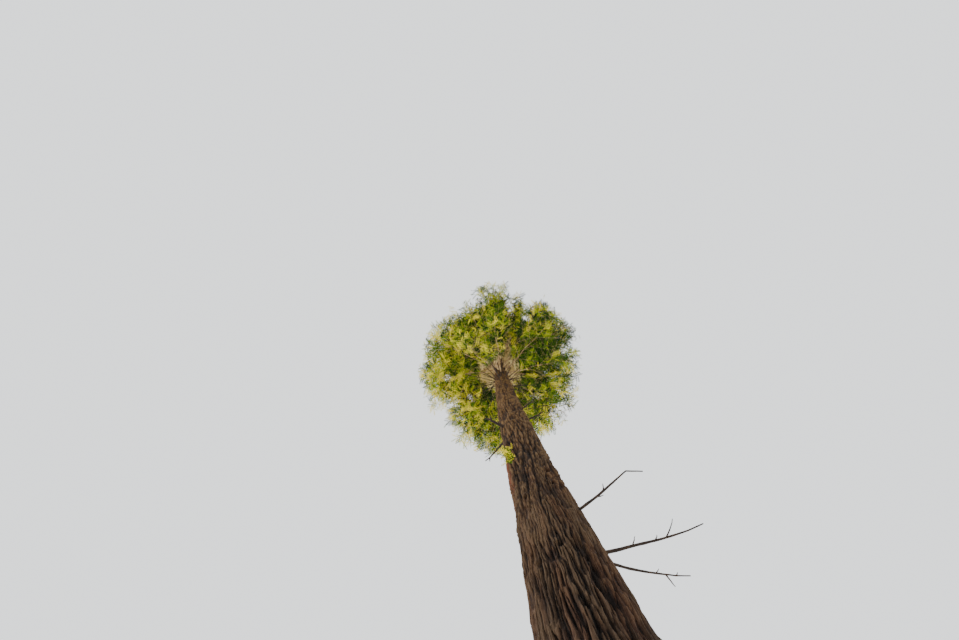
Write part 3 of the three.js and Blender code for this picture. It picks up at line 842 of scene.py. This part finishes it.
# %% Branches on the limbs and the trunk
def limb_branches(limb):
    """The branches along one limb: each one's mass, start, heading, length and radius."""
    mass, seed, curve = limb["mass"], limb["seed"], limb["curve"]
    span = np.linalg.norm(curve[2] - curve[0])
    face = float(bole_radius(curve[0][2]))
    bare = lerp(LOW_BARE, TOP_BARE, float(crown_share(curve[0][2])))
    phase = 6 * chance(seed, 5)
    first = max(face / span + 0.1, bare + 0.04)
    count = int((1 - first) * span / BRANCH_STEP)
    found = []
    for k in range(count):
        share = lerp(first, LAST_BRANCH, k / max(count - 1, 1))
        start = bezier(curve, share)
        swell = math.sin(math.pi * min(1.0, (share - first) / (1 - first) * 0.75 + 0.22))
        want = BRANCH_LENGTH * math.sqrt(sizes[mass]) * (0.35 + 0.65 * swell)
        want *= lerp(0.7, 1.1, chance(seed, 300 + k))
        heading = twig_heading(curve, share, GOLDEN_ANGLE * k + phase, FINE_FLATTEN)
        run = min(want, run_inside(mass, start, heading, want) * BRANCH_STOP)
        if run > SHORTEST_BRANCH:
            radius = limb["radius"] * BRANCH_THICKNESS * (1 - THINNING * share)
            found.append((mass, start, heading, run, radius))
    if not limb["main"]:
        return found
    first = max(bare + 0.07, face / float(crown_radius(floors[mass])) + 0.12)
    for i in range(SOURCE_TWIGS):
        share = lerp(first, LAST_TWIG, i / (SOURCE_TWIGS - 1))
        start = bezier(curve, share)
        heading = twig_heading(curve, share, GOLDEN_ANGLE * i + phase, TWIG_FLATTEN)
        run = run_inside(mass, start, heading, LONGEST_TWIG) * TWIG_STOP
        if run > SHORTEST_TWIG:
            radius = limb["radius"] * TWIG_THICKNESS * (1 - THINNING * share)
            found.append((mass, start, heading, run, radius))
    return found


def trunk_shoots():
    """Small branches straight from the trunk, each in the space where it can run furthest."""
    found = []
    for k in range(SHOOTS):
        share = 1 - (1 - (k + 0.5) / SHOOTS) ** 1.4
        height = lerp(CROWN_BASE + SHOOTS_FOOT, TREE_HEIGHT - 0.05, share)
        heading = heading_of(GOLDEN_ANGLE * k, lerp(-0.35, 0.75, float(crown_share(height)) ** 2))
        heading /= np.linalg.norm(heading)
        want = min(SHOOT_LENGTH, 0.55 * float(crown_radius(height)) + 0.05)
        want *= lerp(0.6, 1.1, chance(k, 41))
        start = trunk_centre(np.float64(height)) + heading * (float(bole_radius(height)) + 0.03)
        runs = [run_inside(mass, start, heading, want) for mass in range(MASSES)]
        mass = int(np.argmax(runs))
        if runs[mass] > SHORTEST_SHOOT:
            found.append((mass, start - heading * 0.05, heading, runs[mass] + 0.03, SHOOT_RADIUS))
    return found


def grow_branches(limbs):
    """All branches as one record: an array for each of their properties."""
    found = [branch for limb in limbs for branch in limb_branches(limb)] + trunk_shoots()
    mass, start, heading, length, radius = (np.array(column) for column in zip(*found))
    return {"mass": mass, "start": start, "heading": heading, "length": length, "radius": radius}


branches = grow_branches(limbs)
print(len(branches["length"]), "branches")


# %% Finer branches
def on_branch(branches, pick, share):
    """Places on branches that sag under their own weight."""
    s = share[..., None]
    length = branches["length"][pick][..., None]
    place = branches["start"][pick] + branches["heading"][pick] * length * s
    return place - UP * BRANCH_DROOP * length * s * s


def branch_frame(branches, pick, share):
    """The way a branch runs at a place, and the way to its right."""
    ahead = unit(branches["heading"][pick] - UP * 2 * BRANCH_DROOP * share[..., None])
    return ahead, unit(np.cross(ahead, UP), 1e-6)


def spaced(lengths, step, first, last):
    """For each length, places a step apart: which length, the share along it, and its number."""
    counts = np.maximum((lengths * (last - first) / step).astype(int), 0)
    pick = np.repeat(np.arange(len(lengths)), counts)
    number = np.arange(len(pick)) - np.repeat(np.cumsum(counts) - counts, counts)
    share = first + (last - first) * (number + 0.5) / np.maximum(counts[pick], 1)
    return pick, share, number


def grow_sub_branches(parents, rng):
    """Finer branches along the longer ones, in turn to the left and to the right."""
    long = np.where(parents["length"] > LONG_ENOUGH)[0]
    pick, share, number = spaced(parents["length"][long], SUB_STEP, 0.12, 0.95)
    pick = long[pick]
    ahead, side = branch_frame(parents, pick, share)
    hand = np.where(number % 2, 1.0, -1.0)[:, None]
    heading = ahead * math.cos(SUB_ANGLE) + side * hand * math.sin(SUB_ANGLE)
    heading = unit(heading + UP * (rng.random((len(pick), 1)) - 0.5) * 0.5)
    length = parents["length"][pick] * (1 - share) * 0.5 + 0.14
    length = np.minimum(length, SUB_LENGTH) * (0.7 + 0.5 * rng.random(len(pick)))
    return {
        "mass": parents["mass"][pick],
        "start": on_branch(parents, pick, share),
        "heading": heading,
        "length": length,
        "radius": parents["radius"][pick] * SUB_THICKNESS,
    }


rng = np.random.default_rng(7)
sub_branches = grow_sub_branches(branches, rng)
everyone = np.arange(len(sub_branches["mass"]))
keep = in_space(sub_branches["mass"], sub_branches["start"])
keep &= in_space(sub_branches["mass"], on_branch(sub_branches, everyone, np.ones(len(everyone))))
sub_branches = {name: values[keep] for name, values in sub_branches.items()}
print(len(sub_branches["length"]), "finer ones")

# %% [markdown]
# ## Sprays of needles
# A redwood's needles are flat and lie in two rows, so a twig of them is a flat spray like a feather. The
# real needles are 2 mm wide, and no eye could tell them apart at this distance, so each needle is one
# pointed triangle, larger than life. One spray is worked out once, and then laid along every branch. The
# sprays are a little longer near the top. Soft noise leaves bare stretches between clumps of them, and
# the crown has the same open gaps as in the picture, where light comes through it.

# %% Sizes of the sprays
SPRAY_LENGTH, SPRAY_STEP, SPRAY_ANGLE = 0.28, 0.05, 0.8
TOP_SPRAYS = 1.25  # how much longer the sprays are at the top
SPRAY_SPREAD = 0.55  # how far their headings differ up and down
SPRAY_TILT = 1.1
NEEDLE_PAIRS = 6
NEEDLE_LENGTH, NEEDLE_HALF_WIDTH = 0.21, 0.052  # over the spray's length
NEEDLE_LEAN = 0.95  # radians between a needle and its twig
SPRAY_DROOP = 0.1
print("needles are drawn", round(NEEDLE_LENGTH * SPRAY_LENGTH * 1000), "mm long")

# %% Clumps and gaps
CLUMP_SIZE = 0.36
CLUMP_WAVES = 16
LOW_GAPS, TOP_GAPS = 0.33, 0.05  # where the noise is lower than this, the twigs are bare
OPEN_GAPS = [  # a pixel of the picture, half the gap's width and half its height
    (464, 302, 20, 10),
    (510, 307, 6, 12),
    (507, 341, 3, 14),
    (448, 378, 4, 5),
    (471, 398, 5, 5),
    (469, 374, 3, 4),
    (526, 319, 4, 4),
    (537, 396, 6, 5),
    (562, 414, 16, 11),
]
LEFT_IN_GAPS = 0.15  # the share of the sprays that stays even there


def clump_noise(points, size, seed):
    """Soft noise in space, mostly from 0 to 1, in clumps of about this size."""
    luck = np.random.default_rng(seed)
    total = np.zeros(len(points))
    for _ in range(CLUMP_WAVES):
        way = luck.normal(size=3)
        way *= np.pi / size * luck.uniform(0.7, 1.4) / np.linalg.norm(way)
        total += np.cos(points @ way + luck.uniform(0, 2 * np.pi))
    return 0.5 + total * 0.09


def in_open_gap(points):
    """Which places lie in the crown's open gaps, as the camera sees them, with ragged edges."""
    view = (points - np.array(EYE)) @ np.array(turned)
    x = IMAGE_SIZE[0] / 2 - focal * view[:, 0] / view[:, 2]
    y = IMAGE_SIZE[1] / 2 + focal * view[:, 1] / view[:, 2]
    ragged = 0.45 + 1.2 * clump_noise(points, CLUMP_SIZE / 2, 23)
    found = np.zeros(len(points), dtype=bool)
    for gap_x, gap_y, wide, high in OPEN_GAPS:
        found |= np.hypot((x - gap_x) / wide, (y - gap_y) / high) < ragged
    return found


print(len(OPEN_GAPS), "open gaps")


# %% One spray
def spray_shape():
    """One spray along +X, one unit long: points and triangles."""
    points, faces = [], []
    for k in range(NEEDLE_PAIRS):
        x = 0.08 + 0.84 * k / (NEEDLE_PAIRS - 1)
        long = NEEDLE_LENGTH * (0.5 + 0.5 * math.sin(math.pi * (0.2 + 0.72 * x)))
        sag = -SPRAY_DROOP * x * x
        first = len(points)
        tip, out = x + long * math.cos(NEEDLE_LEAN), long * math.sin(NEEDLE_LEAN)
        points += [(x - NEEDLE_HALF_WIDTH, 0, sag), (x + NEEDLE_HALF_WIDTH, 0, sag)]
        points += [(tip, out, sag - 0.02), (tip, -out, sag - 0.02)]
        faces += [(first, first + 1, first + 2), (first + 1, first, first + 3)]
    first = len(points)
    points += [(0, 0.016, 0), (0, -0.016, 0), (1.05, 0, -0.11)]
    faces.append((first, first + 1, first + 2))
    return np.array(points), np.array(faces)


# %% All the sprays
def lay_sprays(branches, first, rng):
    """Where every spray goes: its mass, root, frame and length."""
    pick, share, number = spaced(branches["length"], SPRAY_STEP, first, 1.0)
    ahead, side = branch_frame(branches, pick, share)
    hand = np.where(number % 2, 1.0, -1.0)[:, None]
    heading = ahead * math.cos(SPRAY_ANGLE) + side * hand * math.sin(SPRAY_ANGLE)
    heading = heading + UP * (rng.random((len(pick), 1)) - 0.62) * SPRAY_SPREAD
    last = share + 0.6 * SPRAY_STEP / branches["length"][pick] > 1.0
    heading = unit(np.where(last[:, None], ahead, heading))
    tilt = UP + (rng.random((len(pick), 3)) - 0.5) * SPRAY_TILT
    across = unit(np.cross(tilt, heading))
    length = SPRAY_LENGTH * (0.72 + 0.5 * rng.random(len(pick))) * (1.08 - 0.3 * share)
    mass = branches["mass"][pick]
    root = on_branch(branches, pick, share)
    length = length * lerp(1, TOP_SPRAYS, crown_share(root[:, 2]))
    length = np.minimum(length, 0.4 * crown_radius(root[:, 2]) + 0.03)
    keep = in_space(mass, root + heading * length[:, None])
    gaps = lerp(LOW_GAPS, TOP_GAPS, crown_share(root[:, 2]))
    keep &= clump_noise(root, CLUMP_SIZE, 21) + 0.2 * (rng.random(len(pick)) - 0.5) > gaps
    stays = rng.random(len(pick)) < LEFT_IN_GAPS
    keep &= ~in_open_gap(root + heading * length[:, None] / 2) | stays
    made = {"mass": mass, "root": root, "heading": heading, "across": across}
    made |= {"length": length, "branch": pick}
    return {name: values[keep] for name, values in made.items()}


def spray_mesh(sprays, pick):
    """The points and triangles of the picked sprays."""
    shape, faces = spray_shape()
    heading, across = sprays["heading"][pick], sprays["across"][pick]
    normal = np.cross(heading, across)
    size = sprays["length"][pick][:, None, None]
    skin = shape[None, :, 0:1] * heading[:, None] + shape[None, :, 1:2] * across[:, None]
    skin = sprays["root"][pick][:, None] + size * (skin + shape[None, :, 2:3] * normal[:, None])
    offsets = np.arange(len(pick))[:, None, None] * len(shape)
    return skin.reshape(-1, 3), (faces[None] + offsets).reshape(-1, 3)


on_main = lay_sprays(branches, 0.1, rng)
on_fine = lay_sprays(sub_branches, 0.05, rng)
on_fine["branch"] = on_fine["branch"] + len(branches["length"])
sprays = {name: np.concatenate([on_main[name], on_fine[name]]) for name in on_main}
print(len(sprays["length"]), "sprays,", len(sprays["length"]) * len(spray_shape()[1]), "triangles")

# %% [markdown]
# ## Foliage colours
# In the picture the outer sprays are lit a bright yellow-green and the inner ones are a deep green. Here
# that light and shade are painted into the needles' colour, in greens from painted shade to painted
# sunlight. Low in the crown, close to the trunk, they are dry and nearly straw-coloured: dead needles,
# with painted sunlight shining through them. The colours are dealt out spray by spray, as plain colours
# with no pattern, so that they stay in place whatever is done with the joined meshes. Three bands of the
# crown have up to five colours each, which gives fourteen pieces.

# %% Needle materials
BANDS = [("low", 0, 10), ("middle", 10, 21), ("top", 21, MASSES)]
# Greens from painted shade to painted sunlight, and the dry needles' straw colour
GREENS = [
    ("shade", "#143006"),
    ("plain", "#4e6c16"),
    ("bright", "#a6b026"),
    ("sunlit", "#f0e14a"),
    # Dry needles near the trunk, with painted sunlight shining through them
    ("dry", "#ffe8a6"),
]
DRY_SUNLIT = 4
LIGHT_STEPS = [0.52, 0.77, 0.91]  # the shares of the sprays that are darker than each next green
# What gives a spray more painted light: how far out it is, and luck by branch, by mass and by spray
RIM_LIGHT, BRANCH_LIGHT, MASS_LIGHT, SPRAY_LIGHT = 0.25, 0.3, 0.15, 0.26
# Painted sunlight on the sun's side and in clumps, and painted shade at the crown's top
SIDE_LIGHT, CLUMP_LIGHT, TOP_SHADE = 0.12, 0.9, 0.35  # the sun's side, clumps, and the crown's top
# Where the dry green goes, which is dead needles and painted sunlight through them
DRY_SUNLIT_TOP, DRY_SUNLIT_REACH, DRY_SUNLIT_WIDENING, DRY_SUNLIT_SHARE = 7.5, 0.55, 0.13, 0.85


def needle_material(name, text):
    """Waxy young leaves have no grain to see from the ground, only their green, which holds painted light
    and shade.
    """
    made, tree = new_material("needles_" + name)
    values = {"Base Color": colour(text), "Roughness": 0.7, "Specular IOR Level": 0.1}
    shader = add_node(tree, "ShaderNodeBsdfPrincipled", values)
    add_node(tree, "ShaderNodeOutputMaterial", {"Surface": shader.outputs["BSDF"]})
    return made


green_materials = [needle_material(name, text) for name, text in GREENS]
print(len(green_materials), "colours of needles")

# %% Dealing out the colours
# Each spray's painted light, which picks its green from painted shade to painted sunlight
tips = sprays["root"] + sprays["heading"] * sprays["length"][:, None]
out = np.hypot(tips[:, 0], tips[:, 1])
branch_luck = rng.random(sprays["branch"].max() + 1)[sprays["branch"]]
mass_luck = np.array([chance(i + 1, 77) for i in range(MASSES)])[sprays["mass"]]
light = RIM_LIGHT * out / crown_radius(tips[:, 2]) + BRANCH_LIGHT * branch_luck + MASS_LIGHT * mass_luck
light += SPRAY_LIGHT * rng.random(len(out)) - SIDE_LIGHT * tips[:, 0] / out
light += CLUMP_LIGHT * clump_noise(tips, CLUMP_SIZE, 22) - TOP_SHADE * crown_share(tips[:, 2])
green = np.searchsorted(np.quantile(light, LIGHT_STEPS), light)
rise = tips[:, 2] - CROWN_BASE
# Low sprays near the trunk get the dry green: dead needles, and painted sunlight through them
inner = (out < DRY_SUNLIT_REACH + DRY_SUNLIT_WIDENING * rise) & (rise < DRY_SUNLIT_TOP)
green[inner & (rng.random(len(rise)) < DRY_SUNLIT_SHARE)] = DRY_SUNLIT
print("of each colour", np.bincount(green))


def in_band(mass, low, high):
    return (mass >= low) & (mass < high)


for band, low, high in BANDS:
    replaced = [f"foliage_{i + 1:02d}" for i in range(low, high)]
    for shade, (name, _) in enumerate(GREENS):
        pick = np.where(in_band(sprays["mass"], low, high) & (green == shade))[0]
        if not len(pick):
            continue
        skin, faces = spray_mesh(sprays, pick)
        mesh_piece(f"needles_{band}_{name}", skin, faces, green_materials[shade], replaced)

# %% [markdown]
# ## Limbs and twigs as meshes
# The limbs are thick enough to show their bark, so they get 22 rings, a rough skin and some wander from
# their even curve. Their bark is thin, grey-brown and scaly, with painted sunlight in pale tan where the
# scale noise is high. Twigs are mostly a pixel wide or less, and have three or four sides.

# %% Limb bark material
SCALES_PER_METRE = 9.0  # coarser than the real ones, so that they show from the ground
# Grey-brown scales, and painted sunlight in pale tan at the ramp's top
SCALE_AND_SUNLIT_COLOURS = [(0.3, "#7a5f42"), (0.5, "#b8986c"), (0.7, "#e3cba0")]

limb_bark, tree = new_material("thin_scaly_limb_bark")
place = add_node(tree, "ShaderNodeTexCoord").outputs["Object"]
inputs = {"Vector": place, "Scale": SCALES_PER_METRE, "Detail": 4.0, "Roughness": 0.65}
scales = add_node(tree, "ShaderNodeTexNoise", inputs).outputs["Fac"]
limb_colour = add_node(tree, "ShaderNodeValToRGB", {"Fac": scales}, stops=SCALE_AND_SUNLIT_COLOURS).outputs["Color"]
inputs = {"Height": scales, "Strength": 0.5, "Distance": 0.01}
raised = add_node(tree, "ShaderNodeBump", inputs).outputs["Normal"]
inputs = {"Base Color": limb_colour, "Roughness": 0.85, "Specular IOR Level": 0.3, "Normal": raised}
shader = add_node(tree, "ShaderNodeBsdfPrincipled", inputs)
add_node(tree, "ShaderNodeOutputMaterial", {"Surface": shader.outputs["BSDF"]})
print("limb bark has scales about", round(1000 / SCALES_PER_METRE), "mm wide")

# %% Limb and twig meshes
LIMB_STEPS, LIMB_SIDES, LIMB_ROUGHNESS = 22, 9, 0.22
LIMB_WANDER = 0.035  # how far a limb strays from its even curve, in metres
LIMB_COLLAR, COLLAR_FADE = 0.4, 0.1  # a limb is thicker where it leaves the trunk
THINNEST_BRANCH = 0.003


def limb_mesh(picked):
    """Limbs that wander, with a collar where they leave the trunk."""
    shares = np.linspace(0, 1, LIMB_STEPS) ** 0.9
    points = np.array([bezier(limb["curve"], shares) for limb in picked])
    seeds = np.array([limb["seed"] for limb in picked])[:, None]
    waves = [shares * 13 + 2.1 * seeds, shares * 17 + 3.7 * seeds + np.pi / 2, shares * 11 + 1.3 * seeds]
    wander = np.stack([np.sin(wave) for wave in waves], axis=-1)
    points = points + LIMB_WANDER * wander * np.sin(np.pi * shares)[:, None]
    radii = np.array([limb["radius"] * (1 - LIMB_TAPER * shares) ** TAPER_POWER for limb in picked])
    out = np.hypot(points[..., 0], points[..., 1]) - bole_radius(points[..., 2])
    radii = radii * (1 + LIMB_COLLAR * np.exp(-np.maximum(out, 0) / COLLAR_FADE))
    return tubes(points, radii, LIMB_SIDES, relief=LIMB_ROUGHNESS, seed=3)


def branch_mesh(branches, picked, rings, sides):
    """The picked branches as thin tubes."""
    share = np.broadcast_to(np.linspace(0, 1, rings), (len(picked), rings))
    points = on_branch(branches, np.broadcast_to(picked[:, None], share.shape), share)
    radii = np.maximum(branches["radius"][picked][:, None] * (1 - 0.8 * share), THINNEST_BRANCH)
    return tubes(points, radii, sides)


for band, low, high in BANDS:
    masses = [f"foliage_{i + 1:02d}" for i in range(low, high)]
    boughs = [f"bough_{i + 1:02d}" for i in range(low, min(high, BOUGHS))]
    skin, faces = limb_mesh([limb for limb in limbs if low <= limb["mass"] < high])
    mesh_piece(f"limbs_{band}", skin, faces, limb_bark, boughs + masses, smooth=True)
    groups = []
    for made, rings, sides in ((branches, 5, 4), (sub_branches, 3, 3)):
        picked = np.where(in_band(made["mass"], low, high))[0]
        groups.append(branch_mesh(made, picked, rings, sides))
    skin, faces = joined(*groups)
    mesh_piece(f"twigs_{band}", skin, faces, limb_bark, masses, smooth=True)

# %% [markdown]
# ## Dead limbs
# A few dead limbs stand out of the bare bole. They are thin, bent and dark, with some broken side twigs
# left on them. Shorter stubs follow up to the crown, and just under it a ring of thin bare limbs stands
# out all round, like rays about the trunk when they are seen from below.

# %% Sizes of the dead limbs
SNAGS = [  # name, height, angle in degrees, length, radius, rise, how far the tip turns aside
    ("snag_low_back", 6.5, 32, 1.2, 0.026, 0.0, 0.1),
    ("snag_low_right", 6.24, 6, 1.22, 0.028, 0.0, 0.1),
    ("snag_right", 6.98, -21, 0.96, 0.029, 0.0, -0.9),
    ("snag_left", 11.51, 224, 0.45, 0.056, 0.0, 0.3),
    ("snag_middle_right", 12.17, -4, 0.42, 0.034, 0.0, 0.2),
    ("snag_high_left", 12.07, 148, 0.74, 0.042, 0.0, -0.2),
    ("snag_high_right", 13.16, -16, 0.45, 0.034, 0.0, 0.2),
]
SNAG_HOOK_START = 0.88  # the share of a dead limb where its tip turns aside
SNAG_SAG = 0.08
SNAG_KINK, TWIG_KINK, STUB_KINK, RAY_KINK = 0.035, 0.012, 0.03, 0.035
SNAG_TWIGS, SNAG_STEPS = 3, 26
STUBS, STUBS_FROM, STUBS_TO = 26, 12.0, 19.0
RAYS, RAY_HEIGHT, RAY_SPREAD = 36, 18.1, 1.6
STREAKS_PER_METRE = 14.0
STREAK_COLOURS = [(0.3, "#150d08"), (0.55, "#2e2016"), (0.75, "#4c3a2b")]
print(len(SNAGS), "dead limbs,", STUBS, "stubs and", RAYS, "rays")

# %% Dead wood material
dead_wood, tree = new_material("dry_dead_wood")
place = add_node(tree, "ShaderNodeTexCoord").outputs["Object"]
inputs = {"Vector": place, "Scale": STREAKS_PER_METRE, "Detail": 3.0, "Roughness": 0.6}
streaks = add_node(tree, "ShaderNodeTexNoise", inputs).outputs["Fac"]
dead_colour = add_node(tree, "ShaderNodeValToRGB", {"Fac": streaks}, stops=STREAK_COLOURS).outputs["Color"]
shader = add_node(tree, "ShaderNodeBsdfPrincipled", {"Base Color": dead_colour, "Roughness": 0.9})
add_node(tree, "ShaderNodeOutputMaterial", {"Surface": shader.outputs["BSDF"]})


# %% Shapes of the dead limbs
def kinked_line(luck, start, reach, lift, kink, count):
    """A line of so many points that bends upwards, or down, with small random kinks."""
    steps = np.linspace(0, 1, count)[:, None]
    walk = np.cumsum(luck.random((count, 3)) - 0.5, axis=0)
    return start + reach * steps + lift * steps**2 + walk * kink * steps


def tapered(line, radius, taper, sides, **roughness):
    """One tube, thinner at its tip by this share."""
    radii = radius * (1 - taper * np.linspace(0, 1, len(line)))
    return tubes(line[None], radii[None], sides, **roughness)


def snag_mesh(seed, height, degrees, length, radius, rise, hook):
    """A long dead limb with a bent tip and some broken twigs."""
    root = trunk_centre(np.float64(height))
    length = length + float(bole_radius(height))
    tip = root + heading_of(math.radians(degrees), rise) * length
    bend = (root + tip) / 2 - UP * SNAG_SAG * length
    shares = np.linspace(0, 1, SNAG_STEPS)
    points = bezier(np.array([root, bend, tip]), shares)
    luck = np.random.default_rng(seed)
    bends = np.interp(shares, np.linspace(0, 1, 7), np.cumsum(luck.random(7) - 0.5))
    side = np.cross(tip - root, UP) / length
    points = points + (side * bends[:, None] + UP * bends[::-1, None]) * SNAG_KINK * shares[:, None]
    points = points + side * hook * length * np.maximum(shares - SNAG_HOOK_START, 0)[:, None]
    groups = [tapered(points, radius, 0.75, 7, relief=0.25, seed=seed)]
    ahead = (tip - root) / length
    for share in 0.5 + 0.42 * luck.random(SNAG_TWIGS):
        start = points[int(share * (SNAG_STEPS - 1))]
        heading = ahead + side * luck.choice([-1.0, 1.0]) * 0.8 + UP * (luck.random() - 0.3)
        heading = heading / np.linalg.norm(heading) * (0.05 + 0.2 * luck.random() ** 2)
        line = kinked_line(luck, start, heading, UP * 0.04, TWIG_KINK, 7)
        groups.append(tapered(line, radius * 0.4, 0.6, 4))
    return joined(*groups)


def stub_mesh(k):
    """A short dead twig on the bole, below the crown."""
    luck = np.random.default_rng(500 + k)
    height = lerp(STUBS_FROM, STUBS_TO, (k + luck.random()) / STUBS)
    heading = heading_of(GOLDEN_ANGLE * k + luck.random(), 0.5 * luck.random() - 0.2)
    length = float(bole_radius(height)) + 0.12 + 0.6 * luck.random() ** 2
    root = trunk_centre(np.float64(height))
    return tapered(kinked_line(luck, root, heading * length, UP * 0.1 * length, STUB_KINK, 12), 0.01, 0.7, 5)


def ray_mesh(k):
    """One of the thin bare limbs that stand out all round, just under the crown."""
    luck = np.random.default_rng(700 + k)
    height = RAY_HEIGHT + RAY_SPREAD * (luck.random() - 0.5)
    heading = heading_of(2 * math.pi * (k + 0.6 * luck.random()) / RAYS, 0.1 + 0.5 * luck.random())
    length = float(bole_radius(height)) + 0.25 + 0.75 * luck.random()
    sag = -UP * (0.5 * luck.random()) * length
    line = kinked_line(luck, trunk_centre(np.float64(height)), heading * length, sag, RAY_KINK, 10)
    return tapered(line, lerp(0.014, 0.02, luck.random()), 0.6, 6)


# %% Dead limbs as one mesh
skin, faces = joined(
    *(snag_mesh(i, *snag[1:]) for i, snag in enumerate(SNAGS)),
    *(stub_mesh(k) for k in range(STUBS)),
    *(ray_mesh(k) for k in range(RAYS)),
)
snag_names = [snag[0] for snag in SNAGS]
mesh_piece("dead_limbs", skin, faces, dead_wood, snag_names, smooth=True)

# %% [markdown]
# ## Sprouts on the bole
# Redwoods sprout straight from old bark. The picture has one such tuft on the trunk's left flank, lit a
# bright yellow-green.

# %% Sprouts on the bole
SPROUTS = 20  # of each colour
SPROUT_HEIGHT, SPROUT_HEIGHT_SPREAD = 9.4, 0.8
SPROUT_ANGLE, SPROUT_ANGLE_SPREAD = -132, 30

# Half the sprouts take the plain green and half the sunlit green, which is painted sunlight
for green in (1, 3):
    luck = np.random.default_rng(91 + green)
    angles = np.radians(SPROUT_ANGLE + SPROUT_ANGLE_SPREAD * (luck.random(SPROUTS) - 0.5))
    heights = SPROUT_HEIGHT + SPROUT_HEIGHT_SPREAD * (luck.random(SPROUTS) - 0.5)
    facing = np.stack([np.cos(angles), np.sin(angles), 0 * angles], axis=-1)
    roots = trunk_centre(heights) + facing * (bole_radius(heights) - 0.02)[:, None]
    heading = unit(facing + (luck.random((SPROUTS, 3)) - 0.5) * 1.7)
    across = unit(np.cross(UP + 0.3 * luck.random((SPROUTS, 3)), heading))
    lengths = 0.1 + 0.13 * luck.random(SPROUTS)
    tuft = {"root": roots, "heading": heading, "across": across, "length": lengths}
    skin, faces = spray_mesh(tuft, np.arange(SPROUTS))
    mesh_piece("bole_sprouts_" + GREENS[green][0], skin, faces, green_materials[green], [])
